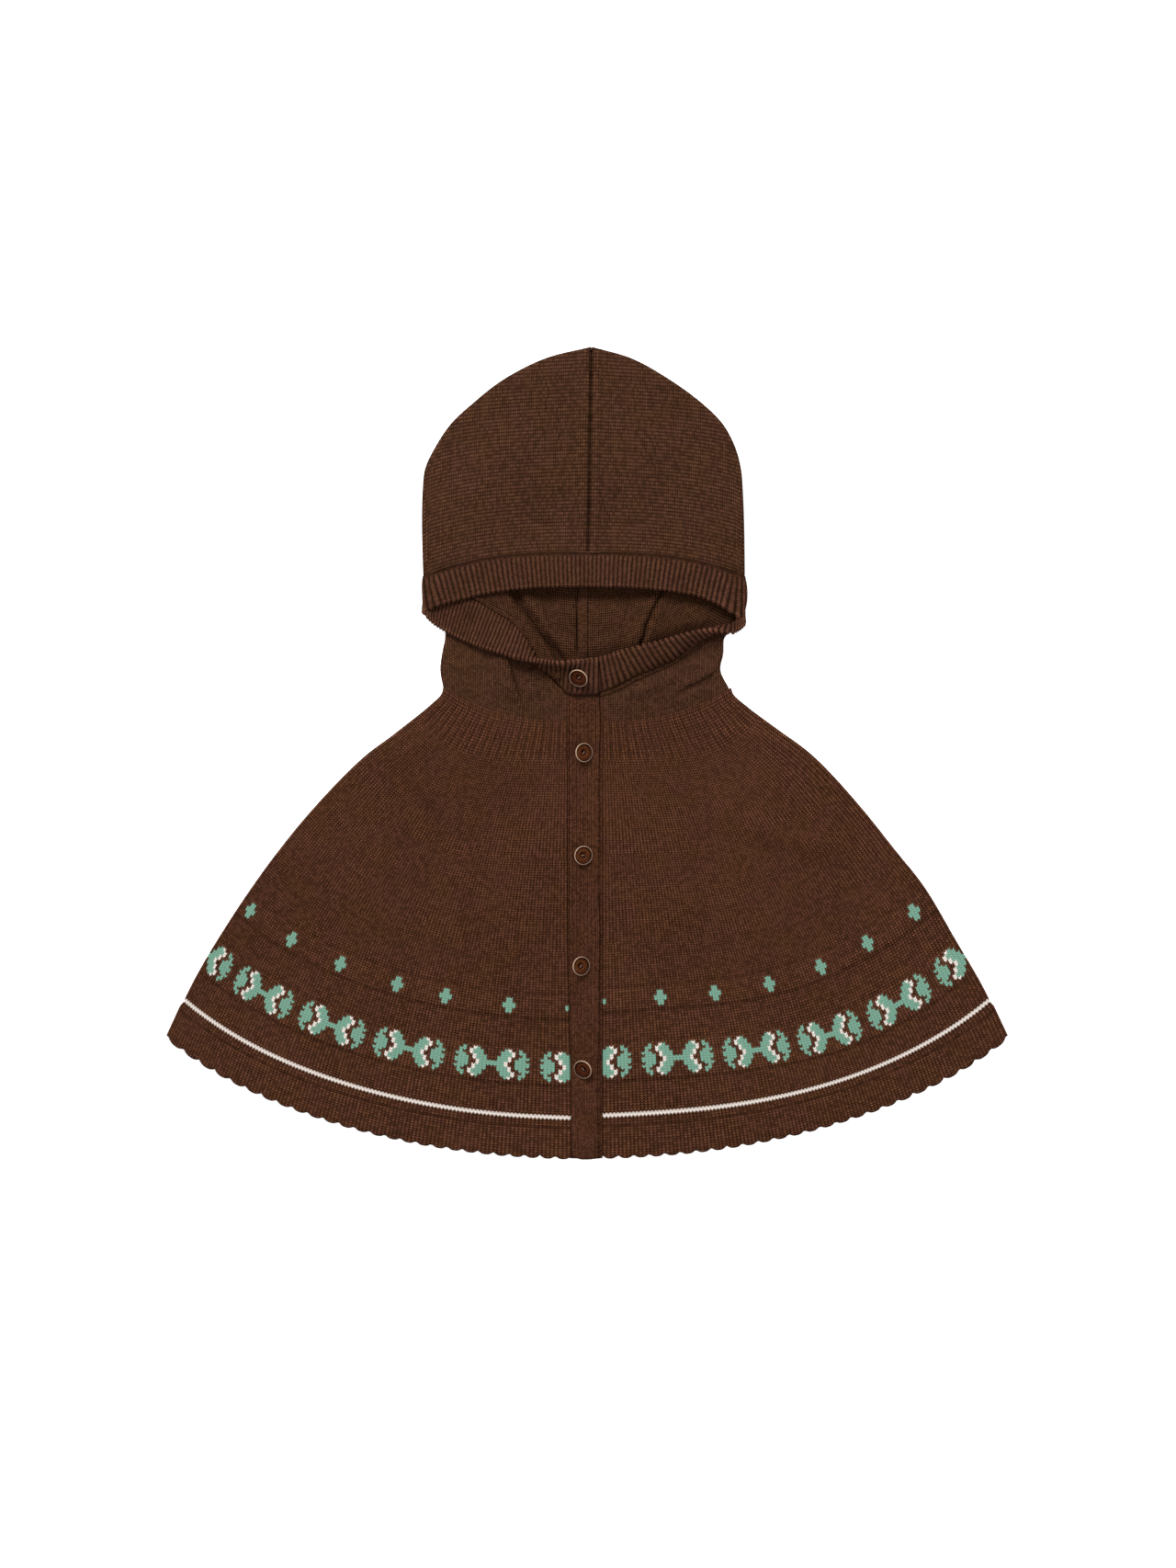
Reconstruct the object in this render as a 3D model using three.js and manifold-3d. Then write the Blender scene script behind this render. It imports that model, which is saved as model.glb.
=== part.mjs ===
// A child's hooded knit cape, buttoned up and laid flat on its back, with the hood's face opening upwards.
// Millimetres. +X is the wearer's left, +Y points from the hem to the top of the hood, +Z is up from the
// surface the cape lies on. The origin is under the middle of the whole outline.
//
// Every piece of cloth is a wall: a grid of middle points, moved out by half the cloth's thickness each way.
// From the surface up lie the cape's and the hood's back, the two fronts and the neck, the two button bands,
// and the ribbed edge of the hood, which folds over at both corners of the face opening.

import Module from "manifold-3d";
import * as THREE from "three";
import { mergeVertices } from "three/addons/utils/BufferGeometryUtils.js";

// ---- Driving sizes --------------------------------------------------------------------------------------

const JERSEY = 2.0; // thickness of the plain knit
const HEM = 2.3; // and of a front's turned-up hem
const RIB = 2.6; // thickness of the ribbed hood edge
const BAND = 2.2; // thickness of each button band
const SEAM = 0.3; // gap left between two pieces where they are sewn or lie together

const HEM_Y = -322; // hem at the centre front
const HEM_RISE = 95; // how much higher the hem is at the side edges
const HEM_BOW = 2.25; // power of the hem's curve
// Power of the curve of a front's courses, from the hem (t = 0) up to the neck seam (t = 1).
const COURSE_BOW = [
  { t: 0, bow: HEM_BOW },
  { t: 0.4, bow: HEM_BOW },
  { t: 0.91, bow: 5 },
  { t: 1, bow: 2.8 },
];
const BACK_NECK_BOW = 1.6;
const NECK_FRONT_Y = 25; // neck seam at the centre front
const NECK_BACK_Y = 60; // neck seam at the centre back
const HEM_BAND = 23; // depth of the turned-up hem, whose edge is scalloped
const SCALLOP_DEPTH = 2.6;
const SCALLOPS = 26; // on each front
const SCALLOP_STEPS = 3;
const BACK_HEM_INSET = 1.2; // the back's hem lies this far inside the fronts'
const BACK_INSET = JERSEY + 1.5 * SEAM; // and its sides inside the folds of the fronts

const BACK_MID = JERSEY / 2; // middle height of what lies on the surface
const FRONT_MID = JERSEY + 0.5 + JERSEY / 2; // middle height of the fronts
const UNDER_BAND_MID = JERSEY + 0.5 + BAND / 2; // of the button band
const OVER_BAND_MID = UNDER_BAND_MID + BAND + SEAM; // of the buttonhole band on it

const OVER_BAND_X = [-14, 10.5]; // the two edges of the buttonhole band
const UNDER_BAND_X = [-13, 13.5];
const BAND_LAP = 20; // how far out a front has come down from its band to its own height

const BAND_RISE = 0.6; // the bands end this far above the hem of the fronts
const BAND_TOP_Y = 45.2;

const COLOURS = { knit: 0x4b2f21, ribbed: 0x482d1f, button: 0x3a1608 };

// Side edge of the cape, from the hem corner up to the neck.
const SIDE_EDGE = [
  { x: 334, y: HEM_Y + HEM_RISE },
  { x: 311, y: -179 },
  { x: 284.5, y: -135 },
  { x: 255, y: -92 },
  { x: 221, y: -48 },
  { x: 179.5, y: -4 },
  { x: 152, y: 17 },
  { x: 126, y: 37 },
  { x: 115.5, y: 47 },
  { x: 114.5, y: 51.5 },
];

// Outline of the hood from the ends of the brow up to its top: right and left of the wearer.
const HOOD_EDGE = [
  { y: 140, right: -128.5, left: 126.5 },
  { y: 180, right: -129.5, left: 126 },
  { y: 207, right: -129, left: 125 },
  { y: 225, right: -127, left: 123.5 },
  { y: 242, right: -119, left: 119 },
  { y: 260, right: -107, left: 109.5 },
  { y: 277, right: -89, left: 92.5 },
  { y: 295, right: -66, left: 68 },
  { y: 312, right: -33, left: 38 },
];
const HOOD_TOP = { x: 5, y: 322 };

// Outline of the neck from its seam with the cape up to where the ribbed edge hides it.
const NECK_EDGE = [
  { y: 51.8, right: -114.3, left: 114.3 },
  { y: 66, right: -115, left: 108.5 },
  { y: 79, right: -113.5, left: 109.5 },
  { y: 92, right: -111, left: 110 },
  { y: 106, right: -111, left: 111 },
  { y: 124.5, right: -117, left: 117 },
];

// The brow: where the hood ends over the face opening, and the free edge of the ribbed edge sewn to it.
const BROW = { x: 2, y: 160.4, drop: 21, reach: 126, bow: 2.35, mid: 14, foldTop: 9.8 };
const BROW_EDGE = { y: 132, drop: 20, lift: 1.5 };

// The ribbed edge of the hood below the brow, one row for each section. s is its seam with the hood and
// neck, and e is its free edge. On the wearer's left it runs from its under end at the centre front to the
// left corner, and on the right from the right corner down to its upper end.
const RIBBED_LEFT = [
  { at: "under end", sx: -13.5, sy: 46.2, sz: 3.8, ex: -13.5, ey: 72, ez: 3.8 },
  { at: "past the lap", sx: 14, sy: 47.4, sz: 3.8, ex: 13, ey: 73.8, ez: 4.2 },
  { at: "chin", sx: 44, sy: 60, sz: 3.9, ex: 39, ey: 82, ez: 7 },
  { at: "rising", sx: 72, sy: 77, sz: 4.6, ex: 66, ey: 88.5, ez: 12 },
  { at: "upright", sx: 90, sy: 93, sz: 6.2, ex: 86, ey: 94.2, ez: 16 },
  { at: "turned", sx: 106, sy: 113, sz: 6.3, ex: 104, ey: 97.5, ez: 13 },
  { at: "under the corner", sx: 118.5, sy: 130, sz: 6.4, ex: 118, ey: 97, ez: 7.4 },
  { at: "corner", sx: 125.6, sy: 137.4, sz: 9, ex: 126, ey: 104, ez: 9 },
];
const RIBBED_RIGHT = [
  { at: "corner", sx: -127.2, sy: 137.4, sz: 9, ex: -126.8, ey: 108.5, ez: 9 },
  { at: "under the corner", sx: -118.5, sy: 130, sz: 6.4, ex: -119.5, ey: 101.5, ez: 7 },
  { at: "cheek", sx: -98, sy: 124.5, sz: 6.3, ex: -103, ey: 95, ez: 7.2 },
  { at: "turned", sx: -78, sy: 115, sz: 6.3, ex: -82, ey: 86.5, ez: 8.2 },
  { at: "turning", sx: -59, sy: 101, sz: 6.3, ex: -60, ey: 79.5, ez: 11 },
  { at: "upright", sx: -43, sy: 80, sz: 5.8, ex: -43, ey: 74.5, ez: 15 },
  { at: "chin", sx: -27, sy: 60, sz: 6.2, ex: -28, ey: 71.5, ez: 13.5 },
  { at: "before the lap", sx: -14, sy: 47.4, sz: 6.8, ex: -14.5, ey: 72, ez: 8.4 },
  { at: "upper end", sx: 10.5, sy: 46.2, sz: 6.7, ex: 10.5, ey: 72.6, ez: 6.7 },
];
const BROW_STATIONS = [117, 108, 93, 72, 38, 2, -38, -72, -93, -108, -118];
const RIBBED_STEPS = 3; // sections worked out between two rows
const RIBBED_WIDTH = 26;
const RIBBED_BULGE = { share: 0.3, most: 3.5 }; // how far a section that is shorter than that rounds out
const RIBBED_GAP = 0.8; // between the ribbed edge and the hood over the brow
const NECK_TOP_DROP = 1.8; // how far below the seam the neck's upper edge lies

// Buttons from the neck down: place of the middle, height of the cloth under it, and how far it is tipped.
const CLOTH_TOP = OVER_BAND_MID + BAND / 2;
const BUTTONS = [
  { x: -4.7, y: 59.7, on: 7.1 + RIB / 2, tipX: -0.22, tipY: 0.25 },
  { x: -2.2, y: 0, on: CLOTH_TOP, tipX: 0, tipY: 0.45 },
  { x: -2.2, y: -81, on: CLOTH_TOP, tipX: 0.1, tipY: 0 },
  { x: -2.9, y: -169, on: CLOTH_TOP, tipX: 0.1, tipY: 0.15 },
  { x: -1.5, y: -251, on: CLOTH_TOP, tipX: 0.08, tipY: -0.1 },
];
const BUTTON_RADIUS = 7.5;
const BUTTON_SIDES = 20;

// ---- Shared tools ---------------------------------------------------------------------------------------

const wasm = await Module();
wasm.setup();

const mix = (a, b, t) => a + (b - a) * t;
const steps = (n) => Array.from({ length: n + 1 }, (_, k) => k / n);
const plan = (x, y) => new THREE.Vector2(x, y);
const curveThrough = (points) => new THREE.CatmullRomCurve3(points);
const flatCurve = (rows) => curveThrough(rows.map((r) => new THREE.Vector3(r.x, r.y, 0)));

// Closed wall of cloth round a grid of middle points, grid[row][column]. Where has(row, column) is false
// the cell is left out.
function wall(grid, thickness, has = () => true) {
  const rows = grid.length;
  const columns = grid[0].length;
  const along = new THREE.Vector3();
  const up = new THREE.Vector3();
  const faceOut = (j, i) => {
    along.subVectors(grid[j][Math.min(i + 1, columns - 1)], grid[j][Math.max(i - 1, 0)]);
    up.subVectors(grid[Math.min(j + 1, rows - 1)][i], grid[Math.max(j - 1, 0)][i]);
    return along.clone().cross(up).normalize();
  };
  const outside = [];
  const inside = [];
  for (let j = 0; j < rows; j++)
    for (let i = 0; i < columns; i++) {
      const out = faceOut(j, i).multiplyScalar(thickness / 2);
      outside.push(grid[j][i].clone().add(out));
      inside.push(grid[j][i].clone().sub(out));
    }
  const vertices = [...outside, ...inside].flatMap((p) => p.toArray());
  const top = (j, i) => j * columns + i;
  const under = (j, i) => rows * columns + top(j, i);
  const exists = (j, i) => j >= 0 && i >= 0 && j < rows - 1 && i < columns - 1 && has(j, i);
  const triangles = [];
  const quad = (a, b, c, d) => triangles.push(a, b, c, a, c, d);
  const rim = (a, b) => quad(top(...b), top(...a), under(...a), under(...b));
  for (let j = 0; j < rows - 1; j++)
    for (let i = 0; i < columns - 1; i++) {
      if (!exists(j, i)) continue;
      const corners = [[j, i], [j, i + 1], [j + 1, i + 1], [j + 1, i]];
      quad(...corners.map((c) => top(...c)));
      quad(...corners.map((c) => under(...c)).reverse());
      if (!exists(j - 1, i)) rim(corners[0], corners[1]);
      if (!exists(j, i + 1)) rim(corners[1], corners[2]);
      if (!exists(j + 1, i)) rim(corners[2], corners[3]);
      if (!exists(j, i - 1)) rim(corners[3], corners[0]);
    }
  const geometry = new THREE.BufferGeometry();
  geometry.setAttribute("position", new THREE.Float32BufferAttribute(vertices, 3));
  geometry.setIndex(triangles);
  return geometry;
}

// Two closed surfaces that run into each other, as one.
function joined(...geometries) {
  const solids = geometries.map((g) => {
    const merged = mergeVertices(g, 1e-3);
    const vertProperties = merged.attributes.position.array;
    const triVerts = new Uint32Array(merged.index.array);
    return new wasm.Manifold(new wasm.Mesh({ numProp: 3, vertProperties, triVerts }));
  });
  const mesh = solids.reduce((whole, next) => whole.add(next)).getMesh();
  const geometry = new THREE.BufferGeometry();
  geometry.setAttribute("position", new THREE.BufferAttribute(mesh.vertProperties, 3));
  geometry.setIndex(new THREE.BufferAttribute(mesh.triVerts, 1));
  return geometry;
}

const knit = new THREE.MeshStandardMaterial({ color: COLOURS.knit, roughness: 0.95, metalness: 0 });
const ribbed = new THREE.MeshStandardMaterial({ color: COLOURS.ribbed, roughness: 0.95, metalness: 0 });
const horn = new THREE.MeshStandardMaterial({ color: COLOURS.button, roughness: 0.35, metalness: 0 });

const cape = new THREE.Group();
function add(name, geometry, material) {
  geometry.computeVertexNormals();
  const mesh = new THREE.Mesh(geometry, material.clone());
  mesh.name = name;
  cape.add(mesh);
  return mesh;
}

// ---- The cape's own outline: courses of knitting from the hem (t = 0) to the neck seam (t = 1) ------------

const sideEdge = flatCurve(SIDE_EDGE);

function courseBow(t) {
  const above = COURSE_BOW.findIndex((row) => row.t >= t);
  if (above < 1) return COURSE_BOW[0].bow;
  const [low, high] = [COURSE_BOW[above - 1], COURSE_BOW[above]];
  return mix(low.bow, high.bow, (t - low.t) / (high.t - low.t));
}

// A point of a course in plan: w is the share of the way out to a line that lies inset inside the outline.
function capePoint(w, t, inset, isBack) {
  const edge = sideEdge.getPointAt(t);
  const tangent = sideEdge.getTangentAt(t);
  const end = plan(edge.x - tangent.y * inset, edge.y + tangent.x * inset);
  const middle = mix(HEM_Y, isBack ? NECK_BACK_Y : NECK_FRONT_Y, t);
  const bow = isBack ? mix(HEM_BOW, BACK_NECK_BOW, t) : courseBow(t);
  return plan(end.x * w, middle + (end.y - middle) * Math.abs(w) ** bow);
}

const CENTRE_LENGTH = NECK_FRONT_Y - HEM_Y;
const HEM_T = HEM_BAND / CENTRE_LENGTH;
const HEM_LAP_T = 3 / CENTRE_LENGTH; // how far the turned-up hem runs into the panel
const NECK_T = 1 - SEAM / 2 / CENTRE_LENGTH;

// Courses at which a panel has its sections, closer together where the outline turns into the neck.
const PANEL_ROWS = steps(14).map((v) => mix(HEM_T, NECK_T, 1 - (1 - v) ** 1.35));

// How far a front is drawn in from its outline, and its height, as it turns down round the side edge.
const FOLD_RADIUS = (FRONT_MID - BACK_MID) / 2;
const FOLD = [
  ...[0, 0.5, 1].map((turn) => ({
    inset: JERSEY / 2 + FOLD_RADIUS * (1 - Math.sin((turn * Math.PI) / 2)),
    z: FRONT_MID - FOLD_RADIUS * (1 - Math.cos((turn * Math.PI) / 2)),
  })),
  { inset: JERSEY / 2, z: 0.2 },
];

// Share of a height that is left at a distance from the band that the front is sewn to.
const bandShare = (away) => 1 - THREE.MathUtils.smoothstep(Math.abs(away), 0, BAND_LAP);

const bandOf = (side) =>
  side < 0
    ? { x: OVER_BAND_X[0] - SEAM, mid: OVER_BAND_MID }
    : { x: UNDER_BAND_X[1] + SEAM, mid: UNDER_BAND_MID };

const frontHeight = (side, x) => mix(FRONT_MID, bandOf(side).mid, bandShare(x - bandOf(side).x));

// Middle points of a front along a course, from its band out and down over the side edge. drawn(c) is how
// far up the cloth the course is drawn in at a share c of the way out.
function frontRow(side, t, outs, drawn = () => 0) {
  const at = (c, { inset, z }) => {
    const level = t + drawn(c);
    const end = capePoint(1, level, inset, false).x;
    const w = mix(Math.abs(bandOf(side).x) / end, 1, c);
    const p = capePoint(w, level, inset, false);
    return new THREE.Vector3(side * p.x, p.y, z ?? frontHeight(side, side * p.x));
  };
  const flat = outs.slice(0, -1).map((c) => at(c, { inset: FOLD[0].inset }));
  const row = [...flat, ...FOLD.map((f) => at(1, f))];
  return side < 0 ? row.reverse() : row;
}

const FRONT_OUTS = [0, 0.035, 0.07, 0.14, 0.28, 0.42, 0.56, 0.68, 0.8, 0.9, 1];

// How far a scalloped edge is drawn in at a place along it, counted in scallops.
const scallopOf = (count) => SCALLOP_DEPTH * (1 - Math.sin(Math.PI * (count - Math.floor(count))));

function makeFront(name, side) {
  const outs = steps(SCALLOPS * SCALLOP_STEPS);
  const drawn = (c) => scallopOf(c * SCALLOPS) / CENTRE_LENGTH;
  const panel = wall(PANEL_ROWS.map((t) => frontRow(side, t, FRONT_OUTS)), JERSEY);
  const hem = wall([frontRow(side, 0, outs, drawn), frontRow(side, HEM_T + HEM_LAP_T, outs)], HEM);
  add(name, joined(panel, hem), knit);
}

// ---- Cape back ------------------------------------------------------------------------------------------

function backRow(t, outs, drawn = () => 0) {
  return outs.map((c) => {
    const p = capePoint(mix(-1, 1, c), t + drawn(c), BACK_INSET, true);
    return new THREE.Vector3(p.x, p.y, BACK_MID);
  });
}

function makeBack() {
  const length = NECK_BACK_Y - HEM_Y;
  const outs = steps(2 * SCALLOPS * SCALLOP_STEPS);
  const drawn = (c) => scallopOf(c * 2 * SCALLOPS) / length;
  const panel = wall(PANEL_ROWS.map((t) => backRow(t, steps(16))), JERSEY);
  const hemRows = [backRow(BACK_HEM_INSET / length, outs, drawn), backRow(HEM_T + HEM_LAP_T, outs)];
  add("cape_back", joined(panel, wall(hemRows, JERSEY)), knit);
}

// ---- Button bands ---------------------------------------------------------------------------------------

function makeBand(name, edges, mid) {
  const rows = steps(12).map((v) =>
    edges.map((x) => new THREE.Vector3(x, mix(HEM_Y + BAND_RISE, BAND_TOP_Y, v), mid)),
  );
  add(name, wall(rows, BAND), ribbed);
}

// ---- Hood: each half runs from the centre back seam, round its outer fold, to the centre front seam --------

const HOOD_BACK_OUTS = [0, 0.25, 0.5, 0.75, 0.92];
const HOOD_FRONT_OUTS = FRONT_OUTS.slice(0, -1).reverse();
const FOLD_TURNS = [-1, -0.5, 0, 0.5, 1].map((v) => (v * Math.PI) / 2);
const FOLD_REACH = 3; // widest that a fold is in plan, from its middle points to the edge
const BACK_SEAM_X = -4;
const CROWN = { y: 309, mid: 6.5, foldTop: 5, notch: 0.9 };
const CROWN_ROWS = 9;

const browY = (x) => BROW.y - BROW.drop * Math.abs(x / BROW.reach) ** BROW.bow;
const browZ = (c) => mix(BROW.mid, BROW.foldTop, c * c);

// Points of one row: backIn on the centre back seam, edge on the outline and frontIn at the front.
// foldTop is the upper height of the fold. frontZ(c, x) is the height of the front, and frontShift and
// backShift move it along the cloth.
function hoodRow({ backIn, edge, frontIn, foldTop, frontZ, frontShift, backShift = () => 0 }) {
  const rise = (foldTop - BACK_MID) / 2;
  const reach = Math.min(rise, FOLD_REACH);
  const inwards = (inner) => inner.clone().sub(edge).normalize();
  const across = (inner, c) => {
    const start = edge.clone().addScaledVector(inwards(inner), JERSEY / 2 + reach);
    return inner.clone().lerp(start, c);
  };
  const back = HOOD_BACK_OUTS.map((c) => {
    const p = across(backIn, c);
    return new THREE.Vector3(p.x, p.y + backShift(p.x), BACK_MID);
  });
  const fold = FOLD_TURNS.map((turn) => {
    const way = inwards(backIn).lerp(inwards(frontIn), (Math.sin(turn) + 1) / 2).normalize();
    const p = edge.clone().addScaledVector(way, JERSEY / 2 + reach * (1 - Math.cos(turn)));
    return new THREE.Vector3(p.x, p.y, BACK_MID + rise * (1 + Math.sin(turn)));
  });
  const front = HOOD_FRONT_OUTS.map((c) => {
    const p = across(frontIn, c);
    return new THREE.Vector3(p.x, p.y + frontShift(p.x, c), frontZ(c, p.x));
  });
  return [...back, ...fold, ...front];
}

function neckSeamY(x, isBack) {
  const inset = isBack ? BACK_INSET : FOLD[0].inset;
  const end = capePoint(1, 1, inset, isBack).x;
  return capePoint(Math.min(Math.abs(x) / end, 1), 1, inset, isBack).y + SEAM / 2;
}

// The height of a curve at a distance x from the middle, found by halving.
function heightOn(curve, x) {
  let low = 0;
  let high = 1;
  for (let k = 0; k < 24; k++) {
    const middle = (low + high) / 2;
    if (Math.abs(curve.getPoint(middle).x) < Math.abs(x)) low = middle;
    else high = middle;
  }
  return curve.getPoint(low).y;
}

// Upper edge of the neck front, just below the seam of the ribbed edge.
function neckTopCurve(side) {
  const rows = side < 0 ? RIBBED_RIGHT.slice(1, -1).reverse() : RIBBED_LEFT.slice(1, -1);
  return flatCurve(rows.map((r) => ({ x: r.sx, y: r.sy - NECK_TOP_DROP })));
}

function makeHood(name, side) {
  const which = side < 0 ? "right" : "left";
  const gap = (side * SEAM) / 2;
  const outline = flatCurve([...HOOD_EDGE.map((r) => ({ x: r[which], y: r.y })), HOOD_TOP]);
  const neckTop = neckTopCurve(side);
  const edgeTop = NECK_EDGE.at(-1).y;
  const edgeLow = NECK_EDGE[0].y;

  const neckRows = NECK_EDGE.map((r) => {
    const q = (r.y - edgeLow) / (edgeTop - edgeLow);
    const edge = plan(r[which], r.y);
    const backIn = plan(BACK_SEAM_X + gap, mix(NECK_BACK_Y, 122, q) + SEAM / 2);
    const frontIn = plan(bandOf(side).x, mix(NECK_FRONT_Y, neckTop.getPoint(0).y, q));
    const slant = (x, inner) => mix(inner.y, edge.y, (x - inner.x) / (edge.x - inner.x));
    const frontY = (x) => mix(neckSeamY(x, false), heightOn(neckTop, x), q);
    return hoodRow({
      backIn,
      edge,
      frontIn,
      foldTop: FRONT_MID,
      frontZ: (c, x) => frontHeight(side, x),
      frontShift: (x) => frontY(x) - slant(x, frontIn),
      backShift: (x) => (1 - q) * (neckSeamY(x, true) - slant(x, backIn)),
    });
  });

  const crownRows = steps(CROWN_ROWS).map((s) => {
    const outer = outline.getPointAt(s);
    const notch = s === 1 ? side * CROWN.notch : 0;
    const edge = plan(s === 1 ? HOOD_TOP.x + gap + notch : outer.x, outer.y);
    const frontIn = plan(mix(BROW.x, HOOD_TOP.x, s) + gap + notch, mix(BROW.y, CROWN.y, s));
    const foldTop = mix(CROWN.foldTop, BROW.foldTop, (1 - s) ** 2);
    const middle = mix(BROW.mid, CROWN.mid, s ** 0.9);
    const slant = (x) => mix(frontIn.y, edge.y, (x - frontIn.x) / (edge.x - frontIn.x || 1));
    return hoodRow({
      backIn: plan(mix(BACK_SEAM_X, HOOD_TOP.x, s) + gap + notch, mix(156, CROWN.y, s)),
      edge,
      frontIn,
      foldTop,
      frontZ: (c) => mix(middle, foldTop, c * c),
      frontShift: (x) => (1 - s) ** 2 * (browY(x) - slant(x)),
    });
  });

  // Between the neck and the brow only the back is there.
  const has = (j, i) => i < HOOD_BACK_OUTS.length - 1 || j !== neckRows.length - 1;
  add(name, wall([...neckRows, ...crownRows], JERSEY, has), knit);
}

// ---- Ribbed edge of the hood ----------------------------------------------------------------------------

function makeRibbedEdge() {
  const browRows = BROW_STATIONS.map((x) => {
    const share = Math.abs(x / BROW.reach);
    const sz = browZ(share);
    const ey = BROW_EDGE.y - BROW_EDGE.drop * share ** BROW.bow;
    return { sx: x, sy: browY(x) - RIBBED_GAP, sz, ex: 0.985 * x, ey, ez: sz + BROW_EDGE.lift };
  });
  const rows = [...RIBBED_LEFT, ...browRows, ...RIBBED_RIGHT];
  const seam = curveThrough(rows.map((r) => new THREE.Vector3(r.sx, r.sy, r.sz)));
  const edge = curveThrough(rows.map((r) => new THREE.Vector3(r.ex, r.ey, r.ez)));
  const across = steps(4);
  const sections = steps((rows.length - 1) * RIBBED_STEPS).map((v) => {
    const s = seam.getPoint(v);
    const e = edge.getPoint(v);
    const chord = e.clone().sub(s);
    const length = chord.length();
    const along = seam.getTangent(v).add(edge.getTangent(v)).normalize();
    const outwards = along.cross(chord.clone().normalize()).normalize();
    const spare = Math.max(RIBBED_WIDTH - length, 0);
    const rounding = Math.min(RIBBED_BULGE.share * Math.sqrt(length * spare), RIBBED_BULGE.most);
    // Where the outer face is turned down onto the cloth below, there is no room to round out.
    const bulge = THREE.MathUtils.smoothstep(outwards.z, -0.6, 0.2) * rounding;
    const middle = s.clone().add(e).multiplyScalar(0.5).addScaledVector(outwards, 2 * bulge);
    const section = new THREE.QuadraticBezierCurve3(s, middle, e);
    return across.map((c) => section.getPoint(c));
  });
  const grid = across.map((_, k) => sections.map((section) => section[k]));
  add("hood_ribbed_edge", wall(grid, RIB), ribbed);
}

// ---- Buttons --------------------------------------------------------------------------------------------

// Half section of a dished button with a raised rim, from the middle of its underside round to its top.
const BUTTON_PROFILE = [
  { r: 0, z: 0 },
  { r: 4.5, z: 0 },
  { r: BUTTON_RADIUS, z: 1.3 },
  { r: BUTTON_RADIUS, z: 2.2 },
  { r: 6.8, z: 2.6 },
  { r: 6.2, z: 1.9 },
  { r: 4.2, z: 2.1 },
  { r: 3.2, z: 1.7 },
  { r: 0, z: 1.7 },
];

function makeButton(name, { x, y, on, tipX, tipY }) {
  const profile = BUTTON_PROFILE.map((p) => plan(p.r, p.z));
  const geometry = new THREE.LatheGeometry(profile, BUTTON_SIDES).rotateX(Math.PI / 2);
  const button = add(name, geometry, horn);
  const tip = Math.acos(Math.cos(tipX) * Math.cos(tipY));
  const dips = BUTTON_PROFILE.map((p) => p.r * Math.sin(tip) - p.z * Math.cos(tip));
  button.position.set(x, y, on + SEAM + Math.max(...dips));
  button.rotation.set(tipX, tipY, 0);
}

// ---- Assembly -------------------------------------------------------------------------------------------

makeBack();
makeFront("right_front", -1);
makeFront("left_front", 1);
makeBand("button_band", UNDER_BAND_X, UNDER_BAND_MID);
makeBand("buttonhole_band", OVER_BAND_X, OVER_BAND_MID);
makeHood("hood_right", -1);
makeHood("hood_left", 1);
makeRibbedEdge();
BUTTONS.forEach((b, k) => makeButton(`button_${k + 1}`, b));

export default cape;
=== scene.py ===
# A child's hooded knit cape, buttoned up and laid flat on its back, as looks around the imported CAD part.
# The file follows the garment as it is made up: cape back, fronts, button bands, hood, ribbed hood edge,
# linked seams and buttons, and then the table, the light and the camera. Sizes in sections are millimetres.

import math

import bmesh
import bpy
import numpy as np
from mathutils import Euler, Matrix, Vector


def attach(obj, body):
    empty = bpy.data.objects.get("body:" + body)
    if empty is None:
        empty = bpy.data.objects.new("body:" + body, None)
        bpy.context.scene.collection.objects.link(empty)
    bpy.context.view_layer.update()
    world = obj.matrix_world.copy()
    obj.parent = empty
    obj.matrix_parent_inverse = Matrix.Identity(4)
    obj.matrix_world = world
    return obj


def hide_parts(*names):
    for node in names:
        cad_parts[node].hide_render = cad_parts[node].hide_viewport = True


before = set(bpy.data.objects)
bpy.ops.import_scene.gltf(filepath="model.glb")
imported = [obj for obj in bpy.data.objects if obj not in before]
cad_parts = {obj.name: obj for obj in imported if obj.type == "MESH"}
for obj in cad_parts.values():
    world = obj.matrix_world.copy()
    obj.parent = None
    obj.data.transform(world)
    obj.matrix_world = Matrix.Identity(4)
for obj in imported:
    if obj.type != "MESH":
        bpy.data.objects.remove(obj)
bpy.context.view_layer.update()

# ---- Cape back -------------------------------------------
# One piece of fine-gauge plain knit in brown heathered wool, which lies on the table with its face down.
# Its courses run across from side seam to side seam, and its hem is turned up with a scalloped edge.

JERSEY = 2.0  # thickness of the plain knit
SEAM = 0.3  # gap between pieces that lie together
HEM_Y, NECK_FRONT_Y, NECK_BACK_Y = -322.0, 25.0, 60.0
LENGTH = NECK_FRONT_Y - HEM_Y
COURSES = 178  # rows of knitting from hem to neck
WALES = 116  # columns of knitting on half the cape, counted at the hem
HEM_COURSES = 12.5  # where the turned-up hem is linked down
SCALLOPS, SCALLOP_DEPTH = 26, 2.6  # on half the hem
HEM_STEP = 1.1  # how much further out the double hem reaches at the side
BACK_MID = JERSEY / 2
FRONT_MID = JERSEY + 0.5 + JERSEY / 2
BACK_INSET = JERSEY + 1.5 * SEAM
# The side of the cape, from its hem to its neck.
SIDE_EDGE = [
    (334, -227), (311, -179), (284.5, -135), (255, -92), (221, -48),
    (179.5, -4), (152, 17), (126, 37), (115.5, 47), (114.5, 51.5),
]
BROWN = (75, 46, 32)


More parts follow.
